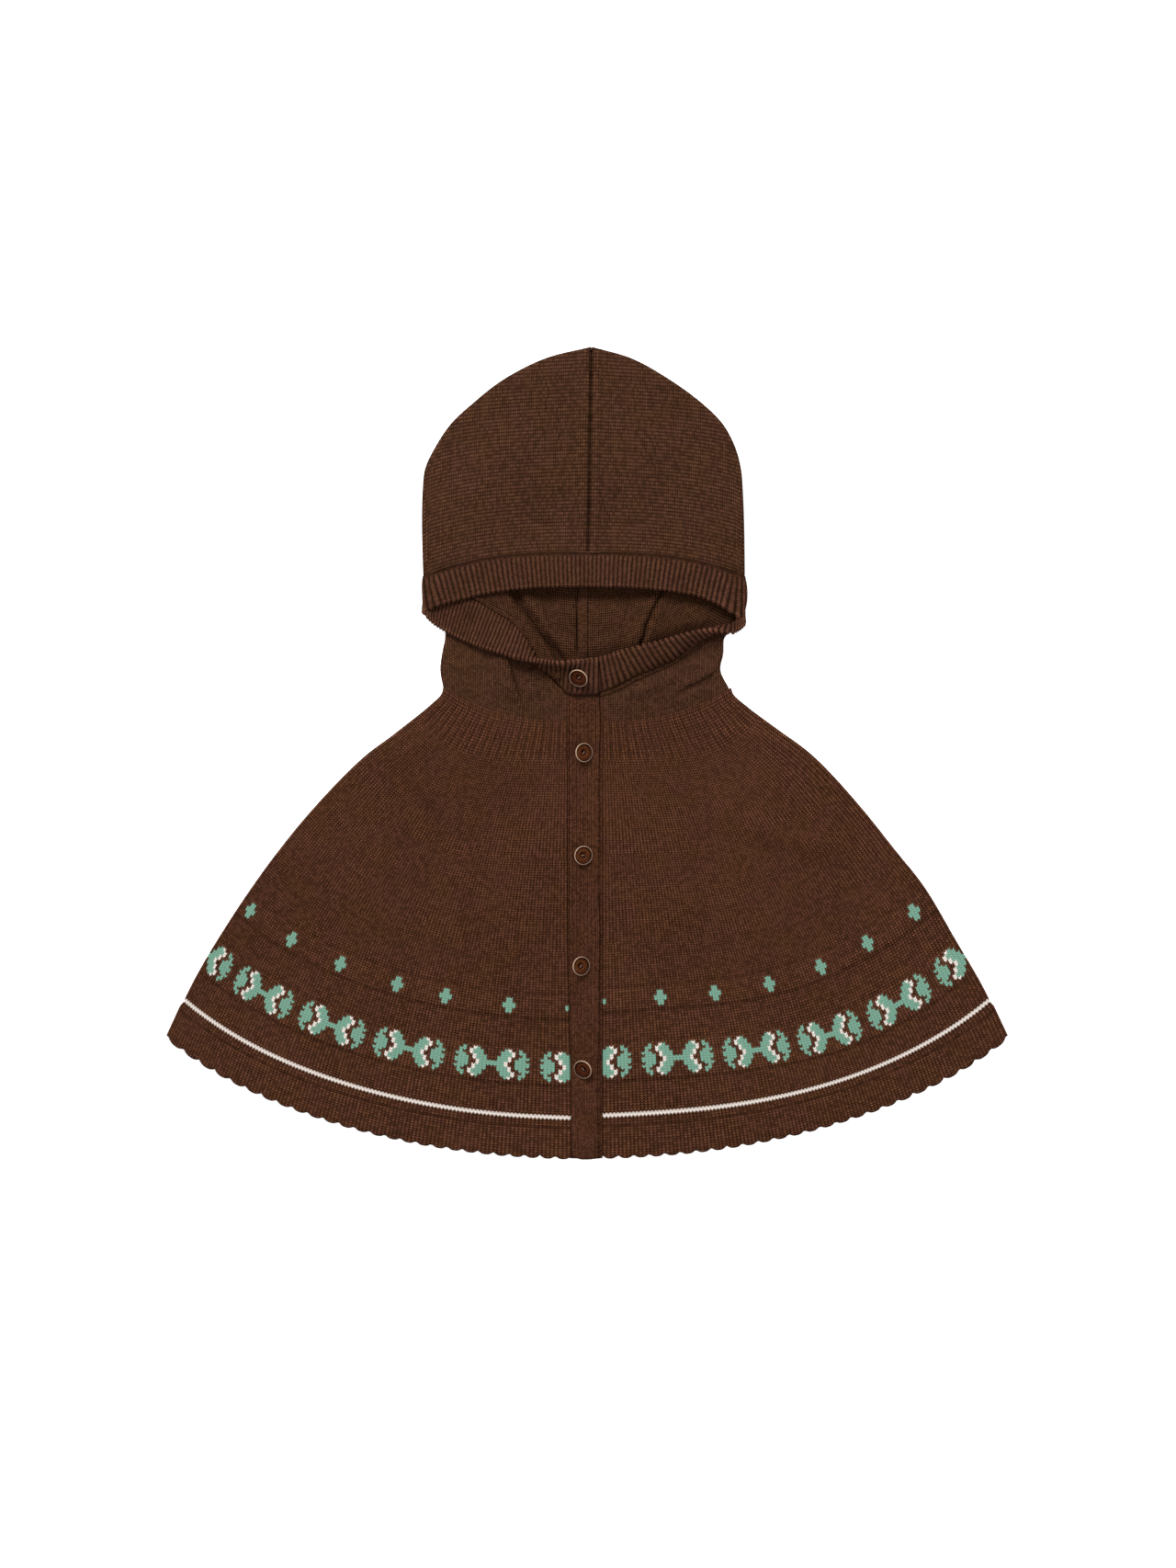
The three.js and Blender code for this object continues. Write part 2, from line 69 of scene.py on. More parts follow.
def smooth_line(points, shares, evenly=False):
    """Places on the smooth line through the points. Evenly means that shares count along its length."""
    line = np.asarray(points, float)
    shares = np.clip(np.asarray(shares, float), 0, 1)
    if evenly:
        fine = np.linspace(0, 1, 401)
        steps = np.linalg.norm(np.diff(smooth_line(line, fine), axis=0), axis=1)
        run = np.concatenate([[0], np.cumsum(steps)])
        shares = np.interp(shares, run / run[-1], fine)
    held = np.vstack([2 * line[0] - line[1], line, 2 * line[-1] - line[-2]])
    at = shares * (len(line) - 1)
    k = np.minimum(at.astype(int), len(line) - 2)
    x = (at - k)[..., None]
    a, b, c, d = (held[k + n] for n in range(4))
    pairs = ((a, b), (b, c), (c, d))
    gap = [np.maximum(np.linalg.norm(t - s, axis=-1, keepdims=True) ** 0.5, 1e-6) for s, t in pairs]
    leave = ((b - a) / gap[0] - (c - a) / (gap[0] + gap[1]) + (c - b) / gap[1]) * gap[1]
    reach = ((c - b) / gap[1] - (d - b) / (gap[1] + gap[2]) + (d - c) / gap[2]) * gap[1]
    second = 3 * (c - b) - 2 * leave - reach
    return b + leave * x + second * x**2 + (2 * (b - c) + leave + reach) * x**3


def mix(a, b, t):
    return a + (b - a) * t


def eased(x, low, high):
    """0 below low and 1 above high, with a soft turn between."""
    t = np.clip((x - low) / (high - low), 0, 1)
    return t * t * (3 - 2 * t)


def faded(x, low, high):
    return 1 - eased(x, low, high)


def hump(x):
    """1 at 0, and falling off softly on both sides of it."""
    return np.exp(-(x**2))


def cape_place(out, up, inset, back=False, side=1):
    """A place on the cape laid flat: out is the share of the way to the side, up that from hem to neck.
    The cape lies a little over to the wearer's left by shift, which side turns about for the right front."""
    edge = smooth_line(SIDE_EDGE, up, evenly=True)
    step = 0.002
    above, below = (smooth_line(SIDE_EDGE, up + s, evenly=True) for s in (step, -step))
    way = (above - below) / np.linalg.norm(above - below, axis=-1, keepdims=True)
    end_x = edge[..., 0] - way[..., 1] * inset
    end_y = edge[..., 1] + way[..., 0] * inset
    middle = mix(HEM_Y, NECK_BACK_Y if back else NECK_FRONT_Y, up)
    bow = mix(2.15, 1.6, up) if back else np.interp(up, [0, 0.4, 0.91, 1], [2.15, 2.25, 5, 2.8])
    turn_up = 0.12 * faded(up, 0.3, 0.6)
    off = np.abs(out)
    rise = (1 - turn_up) * off**bow + turn_up * off**8
    shift = side * np.interp(up, [0, 0.45, 0.82, 1], [1.5, 0.8, 3.4, 1.5])
    return end_x * out + shift * off, middle + (end_y - middle) * rise


def side_reach(up, inset, back=False, side=1):
    return cape_place(np.ones_like(up), up, inset, back, side)[0]


def scallop_rise(count, up):
    """How far up the cloth a course is drawn by the scallops of the hem edge, fading out above it."""
    dent = (1 - np.sin(np.pi * (count - np.floor(count)))) ** 1.5
    return SCALLOP_DEPTH / LENGTH * dent * faded(up, 0, 0.05)


def add_piece(name, bm, materials):
    """Makes a finished bmesh into a piece of the scene."""
    mesh = bpy.data.meshes.new(name)
    bm.to_mesh(mesh)
    bm.free()
    for material in materials:
        mesh.materials.append(material)
    piece = bpy.data.objects.new(name, mesh)
    bpy.context.scene.collection.objects.link(piece)
    return piece


def knit_sheet(name, places, stitches, thickness, materials, keep=None, rim=0.35):
    """A thin shell of cloth. places[row][column] are middle points and stitches their wale and course. keep
    tells which cells are cloth, and rim is the thickness left at the cloth's edges, as a share."""
    rows, columns = places.shape[:2]
    bm = bmesh.new()
    chart = bm.loops.layers.uv.new("stitches")
    bmesh.ops.create_grid(bm, x_segments=columns - 1, y_segments=rows - 1, size=1, calc_uvs=True)
    cell = {}
    for v in bm.verts:
        i = round((v.co.x + 1) / 2 * (columns - 1))
        j = round((v.co.y + 1) / 2 * (rows - 1))
        cell[v] = (j, i)
        v.co = places[j, i] / 1000
    if keep is not None:
        spare = [f for f in bm.faces if not keep(min(cell[v][1] for v in f.verts),
                                                 min(cell[v][0] for v in f.verts))]
        bmesh.ops.delete(bm, geom=spare, context="FACES")
    for f in bm.faces:
        f.smooth = True
        for loop in f.loops:
            loop[chart].uv = stitches[cell[loop.vert]]
    thin = bm.verts.layers.deform.new()
    for v in bm.verts:
        nearby = any(e.is_boundary for e in v.link_edges)
        second = any(e.other_vert(v).is_boundary for e in v.link_edges)
        v[thin][0] = 0.0 if nearby else 0.62 if second else 1.0
    piece = add_piece(name, bm, materials)
    piece.vertex_groups.new(name="body_of_cloth")
    shell = piece.modifiers.new("cloth_thickness", "SOLIDIFY")
    shell.thickness = thickness / 1000
    shell.offset = 0
    shell.vertex_group = "body_of_cloth"
    shell.thickness_vertex_group = rim
    shell.material_offset = len(materials) - 1
    return piece


def maths(operation):
    """A method of Signal that works on it, and on what it is given, in a maths node."""

    def worked(self, *others):
        sockets = dict(enumerate((self, *others)))
        return self.node("ShaderNodeMath", {"operation": operation}, sockets)

    return worked


class Signal:
    """A socket of a material's nodes, so that its sums are written as plain Python."""

    def __init__(self, tree, socket=None):
        self.tree, self.socket = tree, socket

    def node(self, kind, settings=(), sockets=(), output=0):
        made = self.tree.nodes.new(kind)
        for name, value in dict(settings).items():
            if name == "stops":
                self.set_stops(made.color_ramp, value)
            else:
                setattr(made, name, value)
        for key, value in dict(sockets).items():
            if isinstance(value, Signal):
                self.tree.links.new(value.socket, made.inputs[key])
            else:
                made.inputs[key].default_value = value
        return Signal(self.tree, made.outputs[output] if made.outputs else None)

    @staticmethod
    def set_stops(ramp, stops):
        ramp.interpolation = "CONSTANT"
        while len(ramp.elements) > 1:
            ramp.elements.remove(ramp.elements[-1])
        for k, (place, colour) in enumerate(stops):
            stop = ramp.elements[0] if k == 0 else ramp.elements.new(place)
            stop.position, stop.color = place, colour

    def __rsub__(self, other):
        return (self * -1) + other

    __add__ = __radd__ = maths("ADD")
    __sub__ = maths("SUBTRACT")
    __mul__ = __rmul__ = maths("MULTIPLY")
    __truediv__ = maths("DIVIDE")
    __pow__ = maths("POWER")
    __gt__ = maths("GREATER_THAN")
    __lt__ = maths("LESS_THAN")
    __abs__ = maths("ABSOLUTE")
    whole = maths("FLOOR")
    part = maths("FRACT")
    sine = maths("SINE")
    cosine = maths("COSINE")
    at_most = maths("MINIMUM")
    at_least = maths("MAXIMUM")

    def between(self, low, high):
        return (self > low) * (self < high)

    def eased(self, low, high):
        """0 below low and 1 above high, with a soft turn between."""
        ranged = {"interpolation_type": "SMOOTHSTEP"}
        return self.node("ShaderNodeMapRange", ranged, {"Value": self, "From Min": low, "From Max": high})

    def other(self, output):
        """Another output of the node that this one comes from."""
        return Signal(self.tree, self.socket.node.outputs[output])

    def axes(self):
        return [self.node("ShaderNodeSeparateXYZ", (), {0: self}, output=k) for k in range(3)]

    def scaled(self, amount):
        """This colour made darker or lighter."""
        return self.node("ShaderNodeVectorMath", {"operation": "SCALE"}, {"Vector": self, "Scale": amount})

    def of_colours(self, one, other):
        """The colour that lies this share of the way from one to the other."""
        return self.node("ShaderNodeMix", {"data_type": "RGBA"}, {0: self, 6: one, 7: other}, output=2)

    def with_yarn(self, colour, share):
        """This colour with another yarn in its place by a share."""
        return share.of_colours(self, colour)

    def noise(self, scale, detail, distortion=0.0):
        """Cloudy noise at this place, its clouds the smaller the larger scale is."""
        sockets = {"Vector": self, "Scale": scale, "Detail": detail, "Distortion": distortion}
        return self.node("ShaderNodeTexNoise", (), sockets)

    def bump(self, strength, distance):
        """A normal that follows this height."""
        sockets = {"Strength": strength, "Distance": distance, "Height": self}
        return self.node("ShaderNodeBump", (), sockets)


def new_material(name):
    """An empty material, and a Signal that starts its nodes."""
    material = bpy.data.materials.new(name)
    material.use_nodes = True
    material.node_tree.nodes.clear()
    return material, Signal(material.node_tree)


def give_surface(start, sockets):
    surface = start.node("ShaderNodeBsdfPrincipled", (), sockets)
    start.node("ShaderNodeOutputMaterial", (), {"Surface": surface})


LIGHT = 1.55  # the light on the table, where 1 would just show a white thing as white


def dye(red, green, blue):
    """A colour as seen under that light, turned into the share of light that it gives back."""
    level = [c / 255 for c in (red, green, blue)]
    return (*[(c / 12.92 if c < 0.04045 else ((c + 0.055) / 1.055) ** 2.4) / LIGHT for c in level], 1.0)


LEG_RISE = 0.6  # courses by which the two legs of a stitch rise from its middle


def plain_face(u, v):
    """Plain knit on its face: legs of yarn that meet in a V, 0 in the gaps and 1 on top of the yarn."""
    off = abs(u.part() - 0.5) * 2
    leg = ((v - off * LEG_RISE).part() * math.pi).sine().at_least(0.0) ** 1.2
    across = (off * (math.pi / 2)).cosine().at_least(0.0)
    return (leg * 0.85 + 0.15) * (across * 0.75 + 0.25)


def plain_reverse(u, v):
    """Plain knit on its reverse: rows of small arcs that cross the wales."""
    swing = (u * 2 * math.pi).cosine()
    arc = ((v + swing * 0.2).part() * math.pi).sine().at_least(0.0) ** 1.2
    return (arc * 0.85 + 0.15) * (swing * 0.22 + 0.6)


def wool(name, tint, height_of, colour_of=None, relief=0.4, mean=0.48, depth=1.0, fleck=0.6):
    """Heathered wool, knitted: height_of(u, v) is the height of the yarn, mean its mean over the cloth, and
    colour_of lays dyed yarns in. The height also darkens the colour in the gaps between the yarns and
    lightens it on top of them, as painted shade and painted highlight."""
    material, start = new_material(name)
    u, v = start.node("ShaderNodeUVMap", {"uv_map": "stitches"}).axes()[:2]
    place = start.node("ShaderNodeTexCoord", output=3)
    height = height_of(u, v)
    stitch = start.node("ShaderNodeCombineXYZ", (), {0: u.whole(), 1: (v - 0.4).whole()})
    grain = start.node("ShaderNodeTexWhiteNoise", {"noise_dimensions": "2D"}, {"Vector": stitch})
    ply, uneven = place.noise(900.0, 2.0), place.noise(80.0, 3.0)
    cloud, broad = place.noise(46.0, 2.0), place.noise(11.0, 1.0)
    # painted shade: the colour follows the yarn's height, darker in the gaps; shade also carries the yarn's
    # random tone
    painted_stitch_shade = (height - mean) * (uneven * 1.6 + 0.2) * depth + mean
    tone = (grain - 0.5) * fleck + (ply - 0.5) * 0.3 + (uneven - 0.5) * 0.16 + (broad - 0.5) * 0.3 + 1
    shade = (painted_stitch_shade * tone / mean).at_least(0.03)
    red, green, blue, _ = dye(*tint)
    reddish, ochre = (red, green * 0.985, blue * 1.04, 1.0), (red, green * 1.015, blue * 0.93, 1.0)
    colour = cloud.eased(0.42, 0.6).of_colours(reddish, ochre)
    if colour_of:
        # the dyed yarns take a milder painted shade and highlight from the same height
        lit = height * 0.6 + 0.71
        colour = colour_of(colour.scaled(shade / lit), u, v).scaled(lit)
    else:
        colour = colour.scaled(shade)
    normal = height.bump(1.0, relief / 1000)
    dull = {"Base Color": colour, "Roughness": 0.95, "Specular IOR Level": 0.0, "Normal": normal}
    give_surface(start, dull)
    return material


jersey_reverse = wool("brown_jersey_reverse", BROWN, plain_reverse)


def fewer_wales(u, v):
    """The wales at a course: the cape narrows by decreases in three rounds on its way to the neck."""
    kept = (v > 84) * -0.18 + (v > 122) * -0.17 + (v > 160) * -0.15 + 1
    return u * kept


TEAL, CREAM = dye(119, 161, 141), dye(223, 213, 204)
# The knitter's chart of the border, from its top row down to its middle one: T teal, W cream, and a dot
# where the ground shows. A cell is a wale wide and a course high. A round, the bar beside it, the same round
# turned about and a gap make up the repeat of 24 wales, and the lower half is the upper one turned over.
ROUND_CHART = ["..T..WT..", ".TT.WTTT.", ".T..WTTT.", "TTT..WTTT", ".TTT.WTTT", "TTTT..WTT"]
BAR_ROW = 5
REPEAT, ROUNDS_START, ROUNDS_LOW = 24, 13, 31  # wales, wale offset, and the course below the rounds
CROSSES_LOW = 58  # the course below the crosses, which are two courses by four wales and six by two
CROSSES_AT = {-1: [-1, 18, 38, 54, 74, 93, 112], 1: [-1, 18, 36, 55, 74, 92, 110]}  # wales, by front
STRIPE = (15.9, 17.4)
YARNS = {"T": TEAL, "W": CREAM}
STRANDED = ((ROUNDS_LOW - 1, ROUNDS_LOW + 13), (CROSSES_LOW - 1, CROSSES_LOW + 7.5))  # double, so raised
YOKE_RIBS, YOKE_COURSE = 19, 162


def stitch_rows(u, v):
    """Courses counted along the legs of the stitches, so that a change of colour follows the yarn."""
    return v - abs(u.part() - 0.5) * (2 * LEG_RISE)


def charted(under, chart, wale, course):
    """The colours of a chart laid over the ground: wale is a share of its repeat, course its row."""
    for k, row in enumerate(reversed(chart)):
        stops = []
        for c, cell in enumerate(row):
            if c == 0 or cell != row[c - 1]:
                stops.append((c / len(row), YARNS.get(cell, (0, 0, 0, 0))))
        colour = wale.node("ShaderNodeValToRGB", {"stops": stops}, {0: wale})
        under = under.with_yarn(colour, colour.other(1) * course.between(k - 0.001, k + 0.999))
    return under


def border_of(crosses):
    """The two-colour border with its crosses at the wales given."""

    def border(ground, u, v):
        rows = stitch_rows(u, v)
        links = ["..."] * BAR_ROW + ["TTT"]
        half = [row + link + row[::-1] + "..." for row, link in zip(ROUND_CHART, links)]
        share = ((u + ROUNDS_START) / REPEAT).part()
        worked = charted(ground, half + half[::-1], share, rows - ROUNDS_LOW)
        off = abs(u - crosses[0])
        for wale in crosses[1:]:
            off = off.at_most(abs(u - wale))
        high = abs(rows - (CROSSES_LOW + 3))
        cross = ((off < 2) * (high < 1)).at_least((off < 1) * (high < 3))
        return worked.with_yarn(TEAL, cross).with_yarn(CREAM, rows.between(*STRIPE))

    return border


def front_knit(u, v):
    """Plain knit above the hem, and at the neck end ribs of two wales and one. The grooves between the ribs
    are painted darker as shade, and the raised stranded bands are painted lighter as a painted highlight,
    with dark lines of painted shade along their edges.
    """
    rib = u * (YOKE_RIBS / WALES)
    groove = (rib * 2 * math.pi).cosine().eased(0.2, 0.9)
    ribbed = plain_face(rib * 3 + 0.5, v) * (1 - groove * 0.3) * 1.08
    yoke = v.eased(YOKE_COURSE - 1, YOKE_COURSE + 1)
    rows = stitch_rows(u, v)
    dots = (abs(u.part() - 0.5) < 0.3) * rows.between(12, 13)
    plain = plain_face(fewer_wales(u, v), v) * (1 - dots * 0.45)
    for low, high in STRANDED:
        lines = rows.between(low - 1.2, low).at_least(rows.between(high, high + 1.2) * 0.6)
        plain = plain * (rows.between(low, high) * 0.06 - lines * 0.26 + 1)
    return plain * (1 - yoke) + ribbed * yoke


front_faces = {side: wool(f"brown_jersey_with_border_{name}", BROWN, front_knit, border_of(CROSSES_AT[side]))
               for side, name in ((-1, "right"), (1, "left"))}
back_face = wool("brown_jersey_with_border_back", BROWN, front_knit, border_of([16, 35, 54, 73, 92, 111]))


def hem_course_step(courses):
    """How far a double hem stands out at the side, by course."""
    return HEM_STEP * faded(courses, HEM_COURSES + 1.5, HEM_COURSES + 3.5)


def back_places(columns=150, rows=120):
    out = np.linspace(-1, 1, columns)[None, :]
    up = np.linspace(1.2 / (NECK_BACK_Y - HEM_Y), 1 - 0.0005, rows)[:, None]
    up = up + scallop_rise((out + 1) * SCALLOPS, up)
    x, y = cape_place(out, up, BACK_INSET - hem_course_step(up * COURSES), back=True)
    places = np.stack([x, y, np.full_like(x, BACK_MID)], axis=-1)
    return places, np.stack([WALES * np.abs(out) + 0 * up, COURSES * up], axis=-1)


places, stitches = back_places()
cape_back = knit_sheet("cape_back_knit", places, stitches, JERSEY, [jersey_reverse, back_face])
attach(cape_back, "root")
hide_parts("cape_back")

# ---- Fronts ----------------------------------------------
# Two pieces of the same plain knit, with the border worked in, which lie on the back. Each turns down round
# the side, where it meets the back. At the neck end 20 courses are ribbed, and the hem is turned up.

BAND_LAP = 20  # how far out a front has come down from its band to its own height
BAND = 2.2  # thickness of a button band
UNDER_BAND_MID = JERSEY + 0.5 + BAND / 2
OVER_BAND_MID = UNDER_BAND_MID + BAND + SEAM
OVER_BAND_X, UNDER_BAND_X = (-14.0, 10.5), (-13.0, 13.5)
FOLD_RADIUS = (FRONT_MID - BACK_MID) / 2


def band_of(side):
    """Where a front ends at its band, and the band's height. The upper band is linked on edge to edge."""
    if side < 0:
        return OVER_BAND_X[0] - SEAM / 3, OVER_BAND_MID
    return UNDER_BAND_X[1] + SEAM, UNDER_BAND_MID


def drawn_in(y):
    """How much narrower the upper band gets at its sewn edge, on its way down to the hem."""
    return 2.8 * eased(-y, 120, 310)


def front_height(side, x):
    """How high the middle of a front lies, which comes down from its band."""
    near, mid = band_of(side)
    return mix(FRONT_MID, mid, faded(np.abs(x - near), 0, BAND_LAP))


def soft_ridge(places, points, width, height, steep=0):
    """Lifts the cloth in a soft ridge, or a trough, along a line, fading out towards its two ends. steep is
    1 or -1 where it falls off at once on the left or the right of the way along the line."""
    line = smooth_line(points, np.linspace(0, 1, 25))
    flat = places[..., None, :2] - line
    off = np.linalg.norm(flat, axis=-1)
    nearest = off.argmin(axis=-1)
    share = nearest / 24
    fade = eased(share, 0, 0.35) * faded(share, 0.65, 1)
    way = np.gradient(line, axis=0)[nearest]
    to = np.take_along_axis(flat, nearest[..., None, None], axis=-2)[..., 0, :]
    beyond = (way[..., 0] * to[..., 1] - way[..., 1] * to[..., 0]) * steep > 0
    spread = np.where(beyond, 1.3, width)
    places[..., 2] += height * hump(off.min(axis=-1) / spread) * (0.05 + 0.95 * fade)


# Soft folds, each as points along it, its width and its height: wearer's left, then right.
FRONT_FOLDS = {
    1: [
        ([(78, -30), (110, -46), (150, -66), (190, -72), (240, -62)], 10, 3.4),
        ([(40, -66), (58, -98), (76, -140), (88, -196)], 10, 2.6),
        ([(96, 18), (130, 12), (172, 0)], 7, 1.6),
        ([(120, -130), (150, -168), (172, -214)], 20, 1.8),
        ([(206, -110), (232, -142), (262, -176)], 15, 1.6),
    ],
    -1: [
        ([(-96, -76), (-100, -120), (-96, -176)], 16, 2.4),
        ([(-34, -40), (-44, -96), (-48, -160)], 15, 1.6),
        ([(-116, 14), (-136, 4), (-160, -8)], 10, 2.2),
        ([(-180, -70), (-204, -120), (-232, -170)], 20, 2.0),
        ([(-150, -110), (-160, -166), (-176, -226)], 17, 1.5),
    ],
}


# How the wales of each front spread from the band to the side: the excess near the band and further out.
FRONT_SPREAD = {-1: (0.215, 0.145), 1: (0.165, -0.1)}


def front_places(side, columns=204, rows=176):
    band_x = abs(band_of(side)[0])
    share = np.linspace(0, 1, columns)
    turns = np.linspace(0, 1, 6)[1:]
    near, far = FRONT_SPREAD[side]
    out = share + (near + far * share**2) * share * (1 - share)
    out = np.concatenate([out, np.ones(len(turns) + 1)])
    wale = np.concatenate([WALES * share, WALES + 0.75 * turns * 1.3, [WALES + 1.8]])
    quarter = turns * math.pi / 2
    ease_in = FOLD_RADIUS * np.concatenate([np.ones(columns), 1 - np.sin(quarter), [0]])
    drop = np.concatenate([np.zeros(columns), FOLD_RADIUS * (1 - np.cos(quarter)), [FRONT_MID - 0.4]])
    up = np.linspace(0, 1 - SEAM / 2 / LENGTH, rows)[:, None]
    level = up + scallop_rise(out[None, :] * SCALLOPS, up)
    course = COURSES * level
    inset = JERSEY / 2 + ease_in[None, :] - hem_course_step(course)
    at_band = band_x - (side < 0) * drawn_in(HEM_Y + LENGTH * level)
    inner = at_band / side_reach(level, inset, side=side)
    x, y = cape_place(mix(inner, 1, out[None, :]), level, inset, side=side)
    z = front_height(side, side * x)
    if side > 0:  # the left front is pulled up beside its band and sags further out
        pulled = eased(level, -0.05, 0.34) * faded(level, 0.5, 0.9)
        y = y + 6.5 * pulled * hump((x - 50) / 75)
        y = y - 5.2 * hump((x - 215) / 65) * hump((level - 0.2) / 0.08)
        y = y + 4.5 * hump((x - 255) / 60) * hump((level - 0.37) / 0.1)
    places = np.stack([side * x, y, z], axis=-1)
    for fold in FRONT_FOLDS[side]:
        soft_ridge(places, *fold)
    z = places[..., 2]
    flat = faded(out, 0.97, 1.0)[None, :]
    ribs = np.cos(2 * math.pi * YOKE_RIBS * wale / WALES)[None, :]
    yoke = eased(course, YOKE_COURSE - 3, YOKE_COURSE + 2) * faded(course, COURSES - 4, COURSES - 1)
    z -= 0.4 * (ribs + 0.3) * yoke * (wale < WALES)
    for low, high in STRANDED:
        raised = eased(course, low - 0.8, low + 0.6) * faded(course, high - 0.6, high + 0.8)
        groove = hump(course - low + 0.6) + hump(course - high - 0.6)
        z += (0.6 * raised - 0.25 * groove) * flat
    puff = np.cos(2 * math.pi * (wale + 8.5) / 12)[None, :]
    band = eased(course, ROUNDS_LOW, ROUNDS_LOW + 4) * faded(course, ROUNDS_LOW + 8, ROUNDS_LOW + 12)
    z += 0.4 * puff * band * flat
    linked = hump((course - HEM_COURSES) / 0.9)
    z += (0.4 * faded(course, HEM_COURSES - 1, HEM_COURSES + 2) - 0.35 * linked) * flat
    z += 0.4 * flat
    z -= drop[None, :] * np.clip(z / FRONT_MID, 1, 2)
    np.maximum(z, 0.2, out=z)
    return places, np.stack([wale[None, :] + 0 * course, course], axis=-1)


for name, side in (("right_front", -1), ("left_front", 1)):
    places, stitches = front_places(side)
    if side < 0:
        places, stitches = places[:, ::-1], stitches[:, ::-1]
    faces = [front_faces[side], jersey_reverse]
    front = knit_sheet(name + "_knit", places, stitches, JERSEY, faces, rim=0.9)
    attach(front, "root")
    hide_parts(name)

# ---- Button bands ----------------------------------------
# Two long strips of fine double knit, sewn to the front edges. The buttonhole band of the wearer's right
# front laps over the button band of the left. Their ribs run along them, and their free edges are rounded.

BAND_RIB = 2.9  # from one rib to the next


def band_knit(u, v):
    """Fine ribs along the strip: u counts wales across it. The grooves between the ribs are painted darker
    as shade.
    """
    rib = (u * math.pi).cosine() * 0.5 + 0.5
    return (plain_face(u, v) * 0.8 + 0.1) * (rib * 1.2 + 0.4)


band_face = wool("brown_fine_rib", (65, 39, 27), band_knit, relief=0.3, depth=1.3, fleck=0.8)


def band_places(edges, mid, free_edge, columns=72, rows=150):
    """free_edge is -1 or 1 for the side that isn't sewn."""
    across = np.linspace(0, 1, columns)[None, :]
    hem = HEM_Y - 0.1 + 0.9 * faded(across, 0.2, 0.42) + 0.8 * eased(across, 0.62, 1)
    y = mix(hem, 45.7, np.linspace(0, 1, rows)[:, None])
    narrower = drawn_in(y) * (free_edge > 0)
    x = mix(edges[0] + narrower, edges[1] - 0.3 * narrower, across)
    loose = across if free_edge > 0 else 1 - across
    sway = 0.55 * np.sin(y / 31 + 0.7) + 0.35 * np.sin(y / 13)
    x = x + sway * loose**3
    wale = across * (edges[1] - edges[0]) / (BAND_RIB / 2) + 0 * y
    z = mid + 0.2 * np.cos(math.pi * wale) + 0.2 * np.sin(y / 17 + x / 9)
    z = z - 0.5 * eased(loose, 0.96, 1.0) - 0.3 * faded(loose, 0, 0.07)
    places = np.stack([x, y + 0 * x, z], axis=-1)
    return places, np.stack([wale, (y + 400) / 1.3 + 0 * x], axis=-1)


for name, edges, mid, free in (
    ("button_band", UNDER_BAND_X, UNDER_BAND_MID, -1),
    ("buttonhole_band", OVER_BAND_X, OVER_BAND_MID, 1),
):
    places, stitches = band_places(edges, mid, free)
    band = knit_sheet(name + "_knit", places, stitches, BAND, [band_face], rim=0.75)
    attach(band, "root")
    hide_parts(name)

# ---- Hood ------------------------------------------------
# Two halves of plain knit, turned so that its wales run across, sewn together at the centre front over the
# brow and down the centre back. Each half also makes the neck front, which lies under its folded-out edge.

# Lines of each half, -1 for the wearer's right and 1 for the left: the fold round the side of the hood from
# the face opening to the crown, the fold round the side of the neck, and the upper edge of the neck front.
HOOD_EDGE = {
    -1: [(-128.5, 140), (-129.5, 180), (-129, 207), (-127, 225), (-119, 242), (-107, 260), (-89, 277),
         (-66, 295), (-33, 312), (5, 322)],
    1: [(126.5, 140), (126, 180), (125, 207), (123.5, 225), (119, 242), (109.5, 260), (92.5, 277),
        (68, 295), (38, 312), (5, 322)],
}
NECK_EDGE = {
    -1: [(-112.6, 51.2), (-115, 66), (-113.5, 79), (-111, 92), (-111, 106), (-117, 124.5)],
    1: [(114.0, 51.0), (107.2, 65.5), (109.5, 79), (110, 90), (113, 97.5), (122.5, 107)],
}
NECK_TOP = {
    -1: [(-14, 45.6), (-22, 53.4), (-34, 67), (-46.5, 89), (-57, 101.5), (-71.4, 110.5), (-88, 120.5),
         (-103, 126), (-118.5, 129)],
    1: [(14, 47.6), (44, 62), (72, 75.2), (90, 90.2), (106, 99.5), (118.5, 103)],
}
# The edge over the brow: its middle, how far it drops at its reach to the side, and how late it bends down.
BROW_X, BROW_Y, BROW_DROP, BROW_REACH, BROW_BOW = 2, 158.0, 18.2, 126, 2.9
BROW_MID, BROW_FOLD_TOP = 14, 9.8
CROWN_X, CROWN_Y, CROWN_MID, CROWN_FOLD_TOP = 5, 309, 6.5, 5
BACK_SEAM_X, BACK_BROW_Y, BACK_NECK_Y = -4, 156, 122
FOLD_REACH = 3


def brow_y(x):
    return BROW_Y - BROW_DROP * np.abs(x / BROW_REACH) ** BROW_BOW


def neck_seam_y(x, back):
    inset = BACK_INSET if back else JERSEY / 2 + FOLD_RADIUS
    end = side_reach(np.array([1.0]), inset, back)[0]
    one = np.ones_like(x)
    return cape_place(np.minimum(np.abs(x) / end, 1), one, inset, back)[1] - 0.5


def unit(way):
    return way / np.maximum(np.linalg.norm(way, axis=-1, keepdims=True), 1e-9)


HOOD_COLUMNS = (96, 13, 112)  # in the back, in the fold round the side and in the front
BACK_COLUMNS = HOOD_COLUMNS[0] - 1
FRONT_FROM = BACK_COLUMNS + HOOD_COLUMNS[1]
NECK_ROWS, HIDDEN_ROWS, CROWN_ROWS = 60, 18, 112


